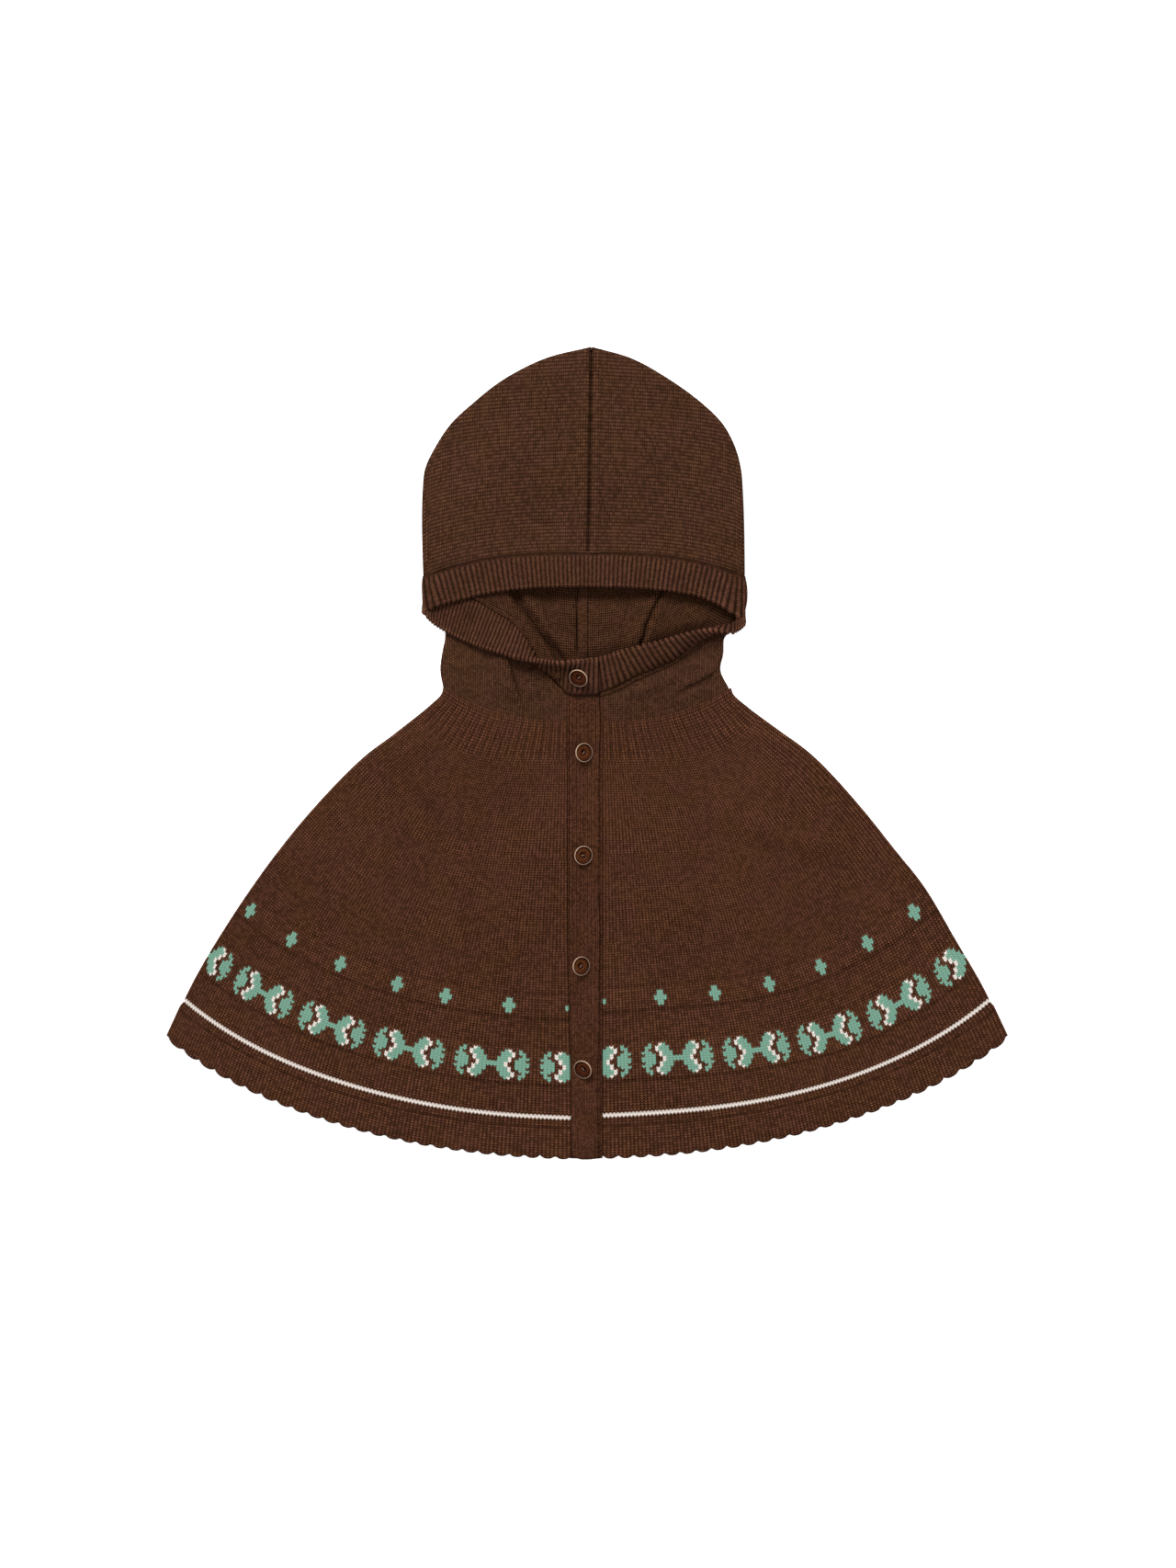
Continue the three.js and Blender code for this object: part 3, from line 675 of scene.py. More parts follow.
def hood_rows(edge, back_in, front_in, fold_top):
    """Rows of one half from the centre back seam, round the outer fold, to the centre front, lying flat."""
    out_back = np.linspace(0, 1, HOOD_COLUMNS[0])[:-1]
    out_front = np.linspace(1, 0, HOOD_COLUMNS[2])[1:] ** 1.3
    turn = np.linspace(-math.pi / 2, math.pi / 2, HOOD_COLUMNS[1])[None, :, None]
    rise = ((fold_top - BACK_MID) / 2)[:, None]
    reach = np.minimum(rise, FOLD_REACH)[..., None]
    to_back, to_front = unit(back_in - edge)[:, None], unit(front_in - edge)[:, None]
    edge, back_in, front_in = edge[:, None], back_in[:, None], front_in[:, None]
    back = mix(back_in, edge + to_back * (JERSEY / 2 + reach), out_back[None, :, None])
    way = unit(mix(to_back, to_front, (np.sin(turn) + 1) / 2))
    fold = edge + way * (JERSEY / 2 + reach * (1 - np.cos(turn)))
    front = mix(front_in, edge + to_front * (JERSEY / 2 + reach), out_front[None, :, None])
    fold_z = BACK_MID + rise * (1 + np.sin(turn[..., 0]))
    flat = np.concatenate([back, fold, front], axis=1)
    z = np.full(flat.shape[:2], BACK_MID)
    z[:, BACK_COLUMNS:FRONT_FROM] = fold_z
    return flat, z, out_front


def hood_places(side):
    """Middle places of one half of the hood, row by row, and how far up the crown its last rows are."""
    gap = side * SEAM / 2
    # the neck, from its seam with the cape up to the seam of the ribbed edge
    edge = smooth_line(NECK_EDGE[side], np.linspace(0, 1, NECK_ROWS))
    up = (edge[:, 1] - edge[0, 1]) / (edge[-1, 1] - edge[0, 1])
    band_x = np.full_like(up, band_of(side)[0])
    top = smooth_line(NECK_TOP[side], np.linspace(0, 1, 200))
    front_in = np.stack([band_x, mix(NECK_FRONT_Y, top[0, 1], up)], axis=-1)
    back_y = mix(NECK_BACK_Y, BACK_NECK_Y, up) + SEAM / 2
    back_in = np.stack([np.full_like(up, BACK_SEAM_X + gap), back_y], axis=-1)
    flat, z, _ = hood_rows(edge, back_in, front_in, np.full_like(up, FRONT_MID))

    def slant(x, inner):
        return mix(inner[:, 1:], edge[:, 1:], (x - inner[:, :1]) / (edge[:, :1] - inner[:, :1]))

    x = flat[:, FRONT_FROM:, 0]
    top_y = np.interp(np.abs(x), np.abs(top[:, 0]), top[:, 1])
    front_y = mix(neck_seam_y(x, False), top_y, up[:, None])
    flat[:, FRONT_FROM:, 1] += front_y - slant(x, front_in)
    z[:, FRONT_FROM:] = front_height(side, x)
    x = flat[:, :BACK_COLUMNS, 0]
    flat[:, :BACK_COLUMNS, 1] += (1 - up[:, None]) * (neck_seam_y(x, True) - slant(x, back_in))
    neck = np.concatenate([flat, z[..., None]], axis=-1)

    # the hood, from the brow up to its top
    up = np.linspace(0, 1, CROWN_ROWS)
    edge = smooth_line(HOOD_EDGE[side], up, evenly=True)
    edge[-1, 0] += gap
    front_in = np.stack([mix(BROW_X, CROWN_X, up) + gap, mix(BROW_Y, CROWN_Y, up)], axis=-1)
    back_in = np.stack([mix(BACK_SEAM_X, CROWN_X, up) + gap, mix(BACK_BROW_Y, CROWN_Y, up)], axis=-1)
    fold_top = mix(CROWN_FOLD_TOP, BROW_FOLD_TOP, (1 - up) ** 2)
    flat, z, outs = hood_rows(edge, back_in, front_in, fold_top)
    middle = mix(BROW_MID, CROWN_MID, up**0.9)[:, None]
    z[:, FRONT_FROM:] = mix(middle, fold_top[:, None], outs[None, :] ** 2)
    x = flat[:, FRONT_FROM:, 0]
    run = edge[:, :1] - front_in[:, :1]
    run = np.where(np.abs(run) < 1e-6, 1, run)
    slope = mix(front_in[:, 1:], edge[:, 1:], (x - front_in[:, :1]) / run)
    flat[:, FRONT_FROM:, 1] += (1 - up[:, None]) ** 2 * (brow_y(x) - slope)
    crown = np.concatenate([flat, z[..., None]], axis=-1)

    # between them only the back is there
    share = np.linspace(0, 1, HIDDEN_ROWS + 2)[1:-1, None, None]
    between = mix(neck[-1:], crown[:1], share)
    return np.concatenate([neck, between, crown]), up


HOOD_WALE, HOOD_COURSE, INSIDE_PITCH, NECK_PITCH = 2.85, 1.78, 1.82, 1.85
# Inside the hood, where the rolled-out neck ends on its right half, and a crease of its left half.
ROLL_LINE = {
    -1: [(-18, 66), (-25, 78), (-32, 88), (-39, 96), (-46, 107), (-53.5, 117), (-59, 125.6), (-66, 140)],
    1: [(42, 78), (44.5, 87.5), (46.7, 91.9), (47.9, 99.9), (51.5, 108.6), (55.8, 117.4), (59.4, 124.7),
        (64, 140)],
}
# Soft folds of the hood and neck fronts: points along each, its width, its height and its steep side.
HOOD_FOLDS = {
    -1: [
        ([(-22, 214), (-26, 190), (-30, 168)], 12, -2.2),
        ([(-62, 262), (-82, 220), (-94, 172)], 20, 1.8),
        ([(-66, 96), (-62.5, 75), (-58, 60), (-54, 46), (-50, 31)], 8, 5.8, 1),
        ([(-68, 84), (-68, 62), (-64, 40)], 6, 2.8),
        ([(-44, 70), (-44, 56), (-40, 38)], 7, 2.0),
        ([(-114, 74), (-102, 70), (-86, 60)], 3.5, 1.8),
        ([(-112, 58), (-98, 54), (-80, 44)], 4.5, 1.6),
        ([(-96, 104), (-80, 92), (-72, 84)], 4, 1.2),
    ],
    1: [
        ([(22, 214), (27, 190), (32, 170)], 12, -2.2),
        ([(60, 262), (84, 228), (104, 190)], 20, 1.8),
        ([(20, 36), (46, 50), (76, 64), (106, 76)], 5, 2.4),
        ([(66, 46), (84, 55), (98, 62.5), (112, 69)], 6, 3.6, -1),
        ([(70, 38), (90, 48), (106, 53)], 4, 1.4),
        ([(84, 82), (98, 86), (110, 90)], 5, 1.4),
    ],
}


def inside_lift(x, y):
    """How far the hood's back stands up behind the rim of the face opening."""
    rim = np.interp(np.abs(x), [0, 33, 62, 84, 103], [72, 80, 87, 93.6, 97])
    return 4.5 * eased(y - rim, -3, 13) * faded(y, 106, 132) * faded(np.abs(x), 92, 112)


def hood_shape(side):
    """Places of one half of the hood with its folds and rolls, and their wales and courses."""
    places, up_crown = hood_places(side)
    x, y = places[..., 0], places[..., 1]
    hidden = np.linspace(0, 1, HIDDEN_ROWS)
    crown = np.concatenate([np.zeros(NECK_ROWS), hidden, np.ones(CROWN_ROWS)])[:, None]
    up = np.concatenate([np.zeros(NECK_ROWS + HIDDEN_ROWS), up_crown])[:, None]
    column = np.arange(places.shape[1])[None, :]
    front = column >= BACK_COLUMNS + HOOD_COLUMNS[1] // 2
    lies_back = column < BACK_COLUMNS
    # folds in the front, held down at the seams
    lifted = places.copy()
    for fold in HOOD_FOLDS[side]:
        soft_ridge(lifted, *fold)
    held = eased(np.abs(x - band_of(side)[0]), 2, 12) * (1 - crown) + crown
    seam_x = mix(BROW_X, CROWN_X, up)
    away = np.abs(x - seam_x)
    flank = (1.2 + 0.6 * side) * hump((away - 5) / 3.2)
    dip = (flank - 2.8 * hump(away / 2.1)) * eased(up, 0.004, 0.035)
    outer = eased(np.abs(places[:, FRONT_FROM - 1:FRONT_FROM, 0] - x), 0, 9)
    change = (lifted[..., 2] - places[..., 2]) * held * outer + dip * (crown == 1)
    places[..., 2] += np.where(column >= FRONT_FROM, change, 0)
    # the rolled-out neck, seen inside the hood
    line = np.array(ROLL_LINE[side])
    past = side * (x - np.interp(y, line[:, 1], line[:, 0]))
    top = np.array(NECK_TOP[side])
    above = y - np.interp(np.abs(x), np.abs(top[:, 0]), top[:, 1])
    if side < 0:
        roll = 8.5 * eased(past, 0, 2.4) + 3.6 * eased(-past, 5, 9.5) * faded(-past, 11, 26)
        beside_seam = 1 - 0.8 * hump((x + 6.6) / 1.2)
        roll = roll * eased(above, 0, 3) + inside_lift(x, y) * faded(past, -5, -1) * beside_seam
    else:
        roll = 4.2 * (1 - hump(past / 1.9)) * hump(past / 12) * eased(above, 3, 8)
        roll = roll + inside_lift(x, y) * (1 - 0.5 * hump(past / 2.1))
    roll = roll * faded(np.abs(x), 96, 112) * faded(y, 150, 175)
    places[..., 2] += np.where(lies_back, roll, 0)
    # wales and courses
    neck_u, neck_v = np.abs(x) / NECK_PITCH, (y - neck_seam_y(x, False)) / NECK_PITCH + 10
    bent = BROW_DROP * np.abs(x / BROW_REACH) ** BROW_BOW * (1 - up) + 0.06 * np.abs(x) * up
    hood_u = (y + bent) / HOOD_WALE
    hood_v = np.abs(x - seam_x) / HOOD_COURSE + 1.5 * faded(up, 0.01, 0.03)
    fan = 1 - 0.0022 * (140 - y)
    in_u, in_v = np.abs(x) / fan / INSIDE_PITCH, (y - 0.0035 * x**2) / INSIDE_PITCH
    wale = np.where(front, mix(neck_u, hood_u, crown), in_u)
    course = np.where(front, mix(neck_v, hood_v, crown), in_v)
    return places, np.stack([wale, course], axis=-1)


def hood_knit(u, v):
    """Plain knit whose wales stand out as lines, darkened between the wales as painted shade. v counts from
    the centre seam, which is drawn in, painted darker in its dip as shade and lighter on its flanks as a
    painted highlight.
    """
    line = (abs(u.part() - 0.5) * 2) ** 4
    drawn_in = v.eased(0.3, 1.3) * 0.75 + 0.25
    flank = v.eased(0.9, 1.7) * (1 - v.eased(2.6, 4)) * 0.15 + 1
    return plain_face(u, v) * (1 - line * 0.45) * drawn_in * flank


hood_face = wool("brown_hood_knit", (70, 45, 32), hood_knit, mean=0.46, depth=0.72)
hood_inside = wool("brown_hood_reverse", (65, 41, 28), plain_reverse, mean=0.4, depth=1.5)
OPEN_ROWS = range(NECK_ROWS - 1, NECK_ROWS + HIDDEN_ROWS)

for name, side in (("hood_right", -1), ("hood_left", 1)):
    places, stitches = hood_shape(side)
    total = places.shape[1]
    if side > 0:
        places, stitches = places[:, ::-1], stitches[:, ::-1]

    def has_cloth(i, j, side=side, total=total):
        column = i if side < 0 else total - 2 - i
        return column < BACK_COLUMNS or j not in OPEN_ROWS

    half = knit_sheet(name + "_knit", places, stitches, JERSEY, [hood_face, hood_inside], has_cloth, rim=0.9)
    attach(half, "root")
    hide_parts(name)

# ---- Ribbed edge of the hood -----------------------------
# One long strip of rib knit, linked to the hood over the brow and to the neck front below. It stands up at
# both corners of the face opening, and folds out over the wearer's right of the neck front.

RIB = 0.9  # thickness of each of its two layers
RIB_APART = 0.95  # from the middle of the folded strip to the middle of a layer
# The strip row by row, each with a place on its seam and one on its free fold: from the button end up the
# left side of the face opening, then over the brow by BROW_STATIONS, and down the right side.
RIB_ROWS_LEFT = [
    ((-13.5, 45.4, 3.8), (-13.5, 71.6, 5)), ((14, 47.4, 5.0), (11, 73.4, 8)),
    ((44, 61.6, 5.4), (33, 80, 12)), ((72, 74.8, 5.7), (62, 87.2, 15)), ((90, 91.4, 6.3), (84, 93.6, 15.5)),
    ((106, 100.5, 4.6), (103, 96.8, 14.5)), ((118.5, 103.5, 5), (117.5, 96.2, 13)),
    ((126.2, 139.2, 9), (125.8, 103.5, 9.5)),
]
RIB_ROWS_RIGHT = [
    ((-128.0, 139.8, 9), (-126.8, 111.8, 9)), ((-118.5, 131.5, 6.4), (-121, 104.6, 7)),
    ((-103, 127.8, 7.5), (-110.5, 97.8, 7)), ((-88, 122.3, 9.5), (-98, 91.2, 7.8)),
    ((-71.4, 112.3, 10), (-82, 84.5, 10)), ((-57, 103.3, 10), (-66, 79.3, 13)),
    ((-46.5, 90.6, 8), (-50, 74.6, 16)), ((-34, 68.2, 5.2), (-34, 72, 17.5)),
    ((-22, 54, 5.0), (-22, 70.4, 16.5)), ((-13.5, 45.6, 7.0), (-10, 70.8, 12.5)),
    ((10.5, 44.9, 7.9), (10.5, 72.6, 9.5)),
]
BROW_STATIONS = [117, 108, 93, 72, 38, 2, -38, -72, -93, -108, -118]
RIB_WIDTH, RIB_COURSES = 26, 14.4  # from the seam to the fold
# Distance from one rib to the next, at each row: wide where the strip is stretched, close over the brow.
RIB_PITCH = [
    *(3.6, 4.4, 4.7, 4.6, 4.4, 4.2, 4.2, 4.2),
    *(4.3, 4.3, 4.3, 4.1, 3.7, 3.3, 3.7, 4.1, 4.3, 4.3, 4.3),
    *(4.0, 3.1, 2.9, 2.9, 2.9, 3.1, 3.5, 3.8, 4.0, 4.0, 4.0),
]


def ribbed_rows():
    rows = list(RIB_ROWS_LEFT)
    for x in BROW_STATIONS:
        share = abs(x / BROW_REACH)
        z = mix(BROW_MID, BROW_FOLD_TOP, share**2)
        corner = 1.6 * eased(-x, 100, 116) - 4.4 * eased(x, 100, 116)
        free_y = 132.6 - 20 * share**BROW_BOW + corner
        rows.append(((x, brow_y(x) - 0.3, z), (0.985 * x, free_y, z + 1.5)))
    return rows + RIB_ROWS_RIGHT


def ribbed_places(steps=46, across=9, around=7):
    """The strip, folded double at its free edge, from its seam out to the fold and back behind, and the
    line of its seam."""
    rows = ribbed_rows()
    v = np.linspace(0, 1, (len(rows) - 1) * steps + 1)
    seam = smooth_line([r[0] for r in rows], v)
    free = smooth_line([r[1] for r in rows], v)
    chord = free - seam
    length = np.linalg.norm(chord, axis=-1, keepdims=True)
    along = unit(unit(np.gradient(seam, axis=0)) + unit(np.gradient(free, axis=0)))
    outwards = unit(np.cross(along, unit(chord)))
    rounding = np.minimum(0.3 * np.sqrt(length * np.maximum(RIB_WIDTH - length, 0)), 3.5)
    row = v * (len(rows) - 1)
    hollow = 6.0 * hump((row[:, None] - 27.2) / 0.9)
    bulge = eased(outwards[:, 2:], -0.6, 0.2) * rounding - hollow
    middle = (seam + free) / 2 + outwards * 2 * bulge
    c = np.linspace(0, 1, across)[:, None, None]
    sheet = (1 - c) ** 2 * seam + 2 * c * (1 - c) * middle + c**2 * free
    normal = unit(np.cross(np.gradient(sheet, axis=1), np.gradient(sheet, axis=0)))
    # ribs, which run from the seam over the fold and back
    pitch = np.interp(row, np.arange(len(rows)), RIB_PITCH)
    middle_line = sheet[across // 2]
    step = np.linalg.norm(np.diff(middle_line, axis=0), axis=-1)
    count = np.concatenate([[0], np.cumsum(step / pitch[1:])])
    over_brow = eased(row, 7, 9) * faded(row, 17.5, 19.5)
    lean = 1.3 * over_brow * middle_line[:, 0] / 110
    ribs = count - lean * c[..., 0]
    held = eased(c, 0, 0.2)
    swell = 1 + mix(0.6, -0.45, over_brow) * eased(c[..., 0], 0.75, 1)
    wave = 0.13 * pitch * np.cos(2 * math.pi * ribs) * swell
    out = mix(0.25, RIB_APART, held) + 0.6 * eased(c, 0.7, 1) + wave[..., None] * mix(0.3, 1, held)
    turn = np.linspace(0, math.pi, around + 2)[1:-1, None, None]
    tip = unit(free - sheet[-2])
    fold = free + (normal[-1] * np.cos(turn) + tip * np.sin(turn)) * out[-1]
    places = np.concatenate([sheet + normal * out, fold, (sheet - normal * out)[::-1]])
    run = c[..., 0] * RIB_COURSES + 0 * ribs
    over_fold = RIB_COURSES + 1.6 * turn[..., 0] / math.pi + 0 * ribs[-1]
    stitches = np.stack([
        2 * np.concatenate([ribs, over_fold * 0 + ribs[-1], ribs[::-1]]),
        np.concatenate([run, over_fold, 2 * RIB_COURSES + 1.6 - run[::-1]]),
    ], axis=-1)
    return places, stitches, seam


def rib_knit(u, v):
    """Rib knit, a wale up and a wale down: the wales between the ribs lie hidden in the grooves, which are
    painted darker as shade. Along the fold the colour is painted lighter, a painted highlight on the rim.
    """
    crest = (u * math.pi).cosine().eased(-0.85, 0.45) * v.eased(0.9, 2.2) + (v < 1.6) * 0.25
    off = abs((u * 0.5).part() - 0.5) * 2
    tick = ((v + off * 0.5).part() * math.pi).sine() * 0.45 + 0.6
    linked = 1 - (v < 0.8) * (abs(u.part() - 0.5) < 0.36) * 0.3
    fold = (1 - abs(v - RIB_COURSES - 0.8).eased(0.8, 1.8)) * 0.3 + 1
    return (crest * 0.66 + 0.34) * tick * linked * fold


rib_face = wool("brown_rib", (64, 40, 29), rib_knit, mean=0.58, fleck=0.5)
places, stitches, link_line = ribbed_places()
places, stitches = places[::-1], stitches[::-1]
ribbed_edge = knit_sheet("hood_ribbed_edge_knit", places, stitches, RIB, [rib_face], rim=0.8)
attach(ribbed_edge, "root")
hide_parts("hood_ribbed_edge")

# ---- Seams of the hood -----------------------------------
# The linked seam down the centre back shows inside the hood as a flat strip, and the one over the crown has
# its turnings inside. Where the ribbed edge is linked on, a raised chain of yarn shows along its inside.

seam_yarn = wool("brown_seam", (69, 44, 31), plain_face, depth=0.9)
CHAIN_PITCH = 2.1  # from one stitch of the chain to the next


def seam_strip(name, line, width, thickness, crown, columns=9, chain=0.0):
    """A strip of cloth along a line, domed across, with small bumps along it where it is a chain."""
    line = np.asarray(line, float)
    along = unit(np.gradient(line, axis=0))
    sideways = unit(np.cross(along, np.array([0, 0, 1.0])))
    across = np.linspace(-1, 1, columns)[None, :]
    run = np.concatenate([[0], np.cumsum(np.linalg.norm(np.diff(line, axis=0), axis=-1))])[:, None]
    bump = chain * np.abs(np.sin(math.pi * run / CHAIN_PITCH))
    places = line[:, None] + sideways[:, None] * (across * width / 2)[..., None]
    places[..., 2] += crown * (1 - across**2) + bump * (1 - across**2)
    stitches = np.stack([across * width / 2 / 1.9 + 0 * run, run / 1.8 + 0 * across], axis=-1)
    strip = knit_sheet(name, places, stitches, thickness, [seam_yarn], rim=0.3)
    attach(strip, "root")
    return strip, run[-1, 0] / 1000


y = np.linspace(62, 300, 140)
x = np.interp(y, [62, 156, 309], [-2.0, -2.0, 6.8])
back_line = np.stack([x, y, inside_lift(x, y) + 2.3], -1)
up = np.linspace(0.01, 1.05, 120)
z = mix(BROW_MID, CROWN_MID, up**0.9) - mix(5.5, 3.4, up)
front_line = np.stack([mix(BROW_X, CROWN_X, up), mix(BROW_Y, CROWN_Y, up), z], -1)
for name, line, width, thickness, crown in (
    ("hood_back_seam", back_line, 7.6, 1.2, 0.4),
    ("hood_front_seam", front_line, 7.0, 1.0, 0.3),
):
    seam, length = seam_strip(name, line, width, thickness, crown)
steps = (len(link_line) - 1) / (len(ribbed_rows()) - 1)
for name, first, last, move, width in (
    ("hood_linking_chain", 19.6, 25.0, (0.3, 0.8, 1.4), 3.0),
    ("neck_linking_chain", 0.9, 5.2, (0.3, -0.9, -0.2), 3.0),
    ("neck_end_linking_chain", 26.6, 29.8, (-0.5, -0.7, -1.2), 2.4),
):
    line = link_line[round(first * steps):round(last * steps):3] + move
    seam_strip(name, line, width, 1.0, 0.7, columns=7, chain=0.3)

# ---- Buttons ---------------------------------------------
# Five dished buttons of polished brown horn-like resin, the first and the last darker, as painted shade for
# how their dishes catch the light. Each has a pale rim, a raised ring in its dish and two holes, and is sewn
# on with paler thread through both. The ring's resin is lighter than the dark eye and the trough round it,
# partly its own colour and partly a painted reflection.

CLOTH_TOP = OVER_BAND_MID + BAND / 2
# Each button's middle, the height of the cloth under it, how far it is tipped about X and Y, and the turn of
# its holes in degrees, from the neck down.
BUTTONS = [
    ((-4.7, 59.7), 11.2, (0.54, -0.34), 45), ((-2.0, 0), CLOTH_TOP, (0, 0.5), 45),
    ((-2.2, -81), CLOTH_TOP, (0.1, 0.36), 8), ((-4.2, -168.6), CLOTH_TOP, (0.05, 0.5), 45),
    ((-1.1, -249.8), CLOTH_TOP, (0.34, -0.42), -50),
]
# Half section from under the middle, out and up over the rim, and in over the dish to the flat centre.
BUTTON_SECTION = [
    (0.0, 0.0), (4.4, 0.0), (6.4, 0.7), (7.35, 1.5), (7.5, 2.0), (7.45, 2.5), (7.2, 2.75), (7.05, 2.7),
    (6.95, 2.6), (6.8, 2.2), (6.5, 1.6), (5.7, 1.25), (4.9, 1.3), (4.1, 1.75), (3.5, 1.9), (3.0, 1.75),
    (2.75, 1.4), (2.6, 1.25),
]
EYE, DISH, RIM_FROM = 2.62, 5.9, 7.03  # how far out the dark eye and the dish end, and the rim begins
HOLE_RADIUS, HOLE_FROM_MIDDLE, FLOOR_Z = 0.62, 1.5, 1.25


def resin(name, tint, other, uneven=0.15):
    """Polished resin, clouded from one tint to another."""
    material, start = new_material(name)
    place = start.node("ShaderNodeTexCoord", output=3)
    colour = place.noise(420.0, 3.0, 1.2).eased(0.35, 0.7).of_colours(dye(*tint), dye(*other))
    fine = place.noise(1500.0, 2.0)
    rough, normal = fine * uneven + 0.4, fine.bump(0.3, 0.0001)
    polished = {"Base Color": colour, "Roughness": rough, "Specular IOR Level": 0.05, "Normal": normal}
    give_surface(start, polished)
    return material


dish_resin = resin("dark_brown_resin", (50, 20, 8), (32, 12, 6))
brown_resin = resin("brown_resin", (92, 48, 19), (70, 34, 13))
# a darker copy of the brown resin: painted shade on the first and last buttons
shaded_brown_resin = resin("brown_resin_painted_darker", (80, 36, 12), (58, 24, 8))
rim_resin = resin("pale_resin", (208, 174, 148), (186, 152, 126), uneven=0.2)


def sewing_thread(u, v):
    return abs((u + v).sine()) * 0.6 + 0.4


thread_yarn = wool("brown_thread", (130, 95, 75), sewing_thread, relief=0.1, mean=0.75)


def edges_of(verts):
    """The edges of some vertices, once each and in their order."""
    return list(dict.fromkeys(e for v in verts for e in v.link_edges))


def button_mesh():
    """One button round the origin, its holes on the X axis."""
    bm = bmesh.new()
    outer = [bm.verts.new((r, 0, z)) for r, z in BUTTON_SECTION]
    lines = [bm.edges.new(pair) for pair in zip(outer, outer[1:])]
    bmesh.ops.spin(bm, geom=outer + lines, cent=(0, 0, 0), axis=(0, 0, 1), dvec=(0, 0, 0),
                   angle=math.tau, steps=48, use_merge=True, use_duplicate=False)
    bmesh.ops.remove_doubles(bm, verts=bm.verts, dist=1e-4)
    rim = [e for e in bm.edges if e.is_boundary]
    walls = []
    for way in (-1, 1):
        made = bmesh.ops.create_circle(bm, cap_ends=False, radius=HOLE_RADIUS, segments=16)
        bmesh.ops.translate(bm, verts=made["verts"], vec=(way * HOLE_FROM_MIDDLE, 0, FLOOR_Z))
        walls += edges_of(made["verts"])
    bmesh.ops.triangle_fill(bm, edges=rim + walls, use_beauty=True, use_dissolve=False)
    for way in (-1, 1):
        ring = [e for e in walls if e.verts[0].co.x * way > 0]
        sunk = bmesh.ops.extrude_edge_only(bm, edges=ring)["geom"]
        low = [g for g in sunk if isinstance(g, bmesh.types.BMVert)]
        bmesh.ops.translate(bm, verts=low, vec=(0, 0, -1.2))
        bmesh.ops.contextual_create(bm, geom=[g for g in sunk if isinstance(g, bmesh.types.BMEdge)
                                              and all(v.co.z < FLOOR_Z - 1 for v in g.verts)])
    bmesh.ops.recalc_face_normals(bm, faces=bm.faces)
    for f in bm.faces:
        middle = f.calc_center_median()
        f.smooth = True
        away = math.hypot(middle.x, middle.y)
        f.material_index = 1 if away > RIM_FROM and middle.z > 0.9 else 2 if EYE < away < DISH else 0
    return bm


def turned(angles):
    return Euler(angles).to_matrix()


def thread_mesh():
    """Three strands of thread from hole to hole, in a low arch."""
    bm = bmesh.new()
    for lane in (-0.34, 0.0, 0.34):
        ring = bmesh.ops.create_circle(bm, cap_ends=False, radius=0.18, segments=8)["verts"]
        bmesh.ops.rotate(bm, verts=ring, cent=(0, 0, 0), matrix=turned((0, math.pi / 2, 0)))
        bmesh.ops.translate(bm, verts=ring, vec=(-HOLE_FROM_MIDDLE - 0.1, lane, FLOOR_Z - 0.5))
        edges = edges_of(ring)
        bmesh.ops.contextual_create(bm, geom=edges)
        for x, z in ((-1.25, 0.15), (-0.65, 0.36), (0, 0.42), (0.65, 0.36), (1.25, 0.15), (1.6, -0.5)):
            edges = [g for g in bmesh.ops.extrude_edge_only(bm, edges=edges)["geom"]
                     if isinstance(g, bmesh.types.BMEdge)]
            edges = [e for e in edges if e.is_boundary]
            ring = list(dict.fromkeys(v for e in edges for v in e.verts))
            here = sum(v.co.x for v in ring) / len(ring), sum(v.co.z for v in ring) / len(ring)
            bmesh.ops.translate(bm, verts=ring, vec=(x - here[0], 0, FLOOR_Z + z - here[1]))
        bmesh.ops.contextual_create(bm, geom=edges)
    bmesh.ops.recalc_face_normals(bm, faces=bm.faces)
    chart = bm.loops.layers.uv.new("stitches")
    for f in bm.faces:
        f.smooth = True
        for loop in f.loops:
            loop[chart].uv = (loop.vert.co.x * 8, loop.vert.co.y * 8)
    return bm


def add_round(name, bm, tilt, spin, at, materials):
    turn = turned((tilt[0], 0, 0)) @ turned((0, tilt[1], 0)) @ turned((0, 0, math.radians(spin)))
    bmesh.ops.rotate(bm, verts=bm.verts, cent=(0, 0, 0), matrix=turn)
    bmesh.ops.translate(bm, verts=bm.verts, vec=at)
    bmesh.ops.scale(bm, verts=bm.verts, vec=(0.001, 0.001, 0.001))
    piece = add_piece(name, bm, materials)
    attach(piece, "root")
    return piece


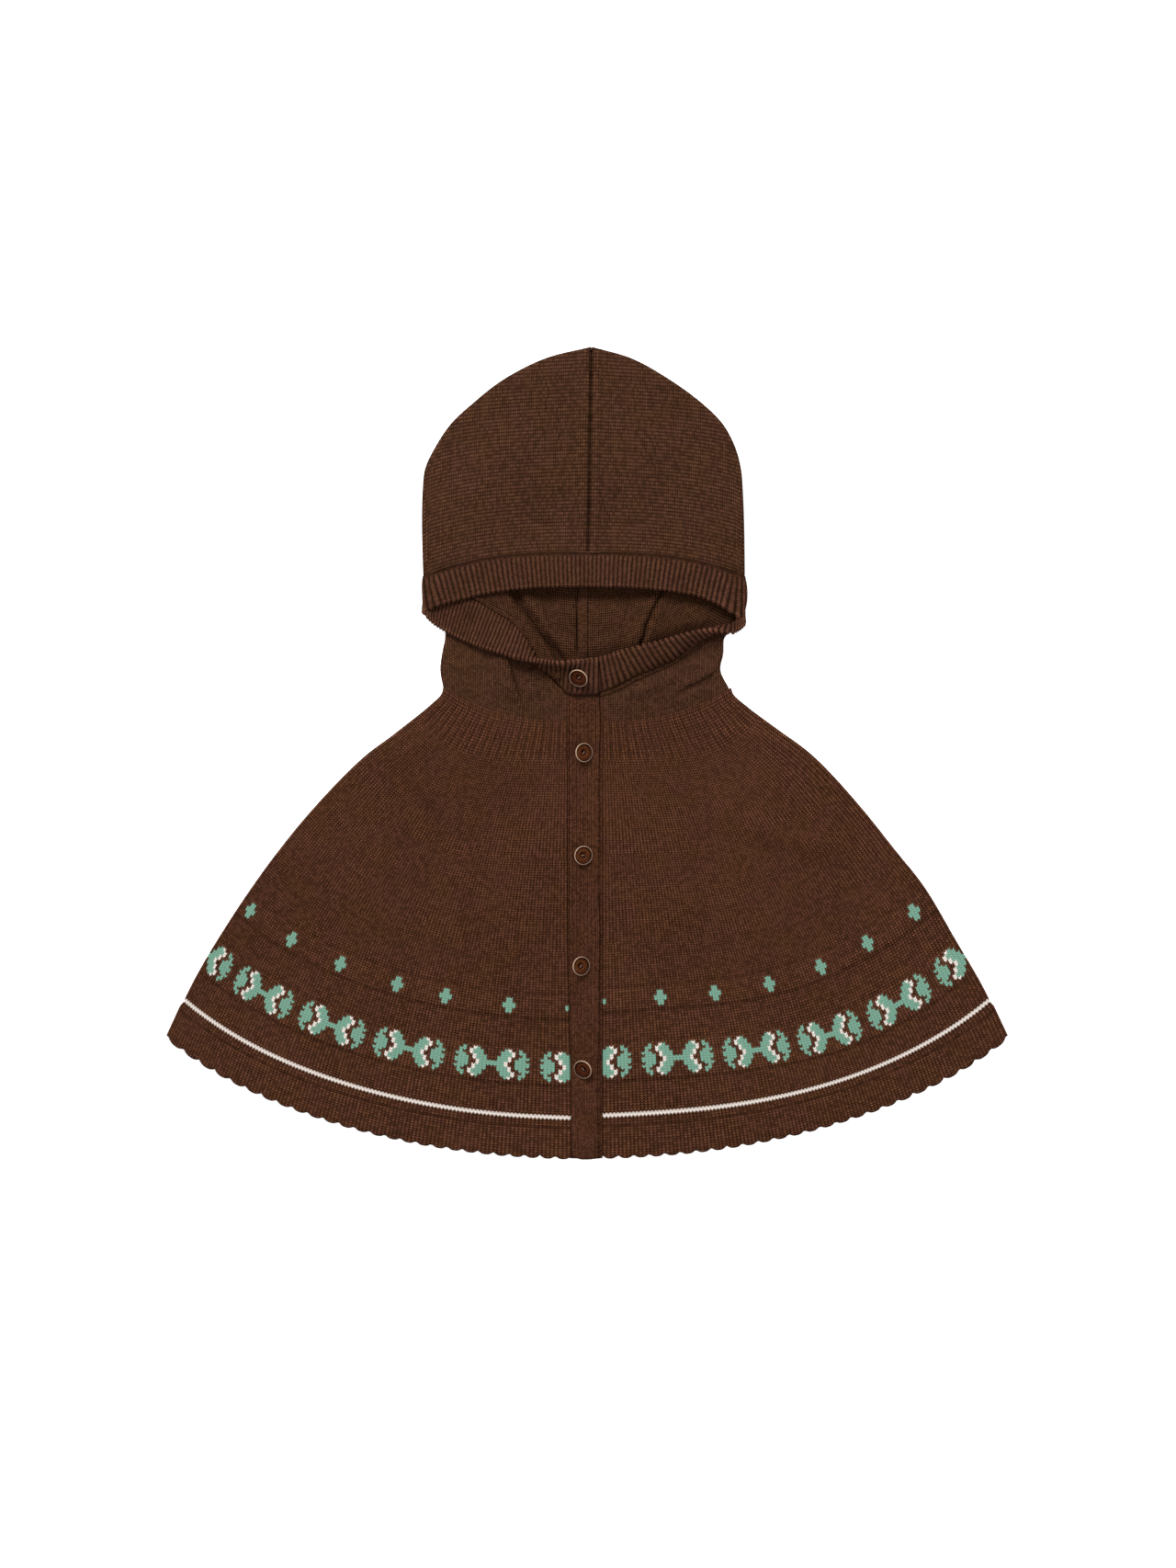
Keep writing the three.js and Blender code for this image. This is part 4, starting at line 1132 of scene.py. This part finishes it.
for k, (middle, cloth, tilt, spin) in enumerate(BUTTONS, start=1):
    tip = math.acos(math.cos(tilt[0]) * math.cos(tilt[1]))
    dip = max(r * math.sin(tip) - z * math.cos(tip) for r, z in BUTTON_SECTION)
    at = (middle[0], middle[1], cloth + SEAM + dip)
    resins = [dish_resin, rim_resin, shaded_brown_resin if k in (1, 5) else brown_resin]
    button = add_round(f"button_{k}_dished", button_mesh(), tilt, spin, at, resins)
    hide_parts(f"button_{k}")
    thread = add_round(f"button_{k}_thread", thread_mesh(), tilt, spin, at, [thread_yarn])

# ---- Table, light and camera -----------------------------
# A white table lit through from below, under a soft light from the top side and a paler fill all round,
# and a camera that looks straight down from three metres.

bm = bmesh.new()
bmesh.ops.create_grid(bm, x_segments=1, y_segments=1, size=3.0)
bmesh.ops.translate(bm, verts=bm.verts, vec=(0, 0, -0.0004))
white, start = new_material("white_table")
lit = {"Emission Color": (1, 1, 1, 1), "Emission Strength": 0.6}
give_surface(start, {"Base Color": (0.9, 0.9, 0.9, 1), "Roughness": 0.9, **lit})
table = add_piece("table_top", bm, [white])

scene = bpy.context.scene
scene.view_settings.view_transform = "Standard"
world = bpy.data.worlds.new("studio")
world.use_nodes = True
for socket, value in (("Color", (1.0, 0.99, 0.975, 1)), ("Strength", 0.62)):
    world.node_tree.nodes["Background"].inputs[socket].default_value = value
scene.world = world


def soft_light(name, place, size, power):
    lamp = bpy.data.lights.new(name, "AREA")
    lamp.size = size
    lamp.energy = power
    holder = bpy.data.objects.new(name, lamp)
    scene.collection.objects.link(holder)
    holder.location = place
    holder.rotation_euler = Vector(place).to_track_quat("Z", "Y").to_euler()


soft_light("key", (-0.9, 2.2, 2.5), 1.3, 166)
soft_light("fill", (0.9, -0.7, 1.5), 1.4, 9)

CAMERA_HEIGHT, TABLE_SEEN = 3.0, 1.244  # metres, the second along the longer side of the view
eye = bpy.data.cameras.new("straight_down")
eye.sensor_width = 36
eye.lens = eye.sensor_width * CAMERA_HEIGHT / TABLE_SEEN
eye.clip_end = 20
holder = bpy.data.objects.new("straight_down", eye)
holder.location = (0.0022, -0.0248, CAMERA_HEIGHT)
scene.collection.objects.link(holder)
scene.camera = holder
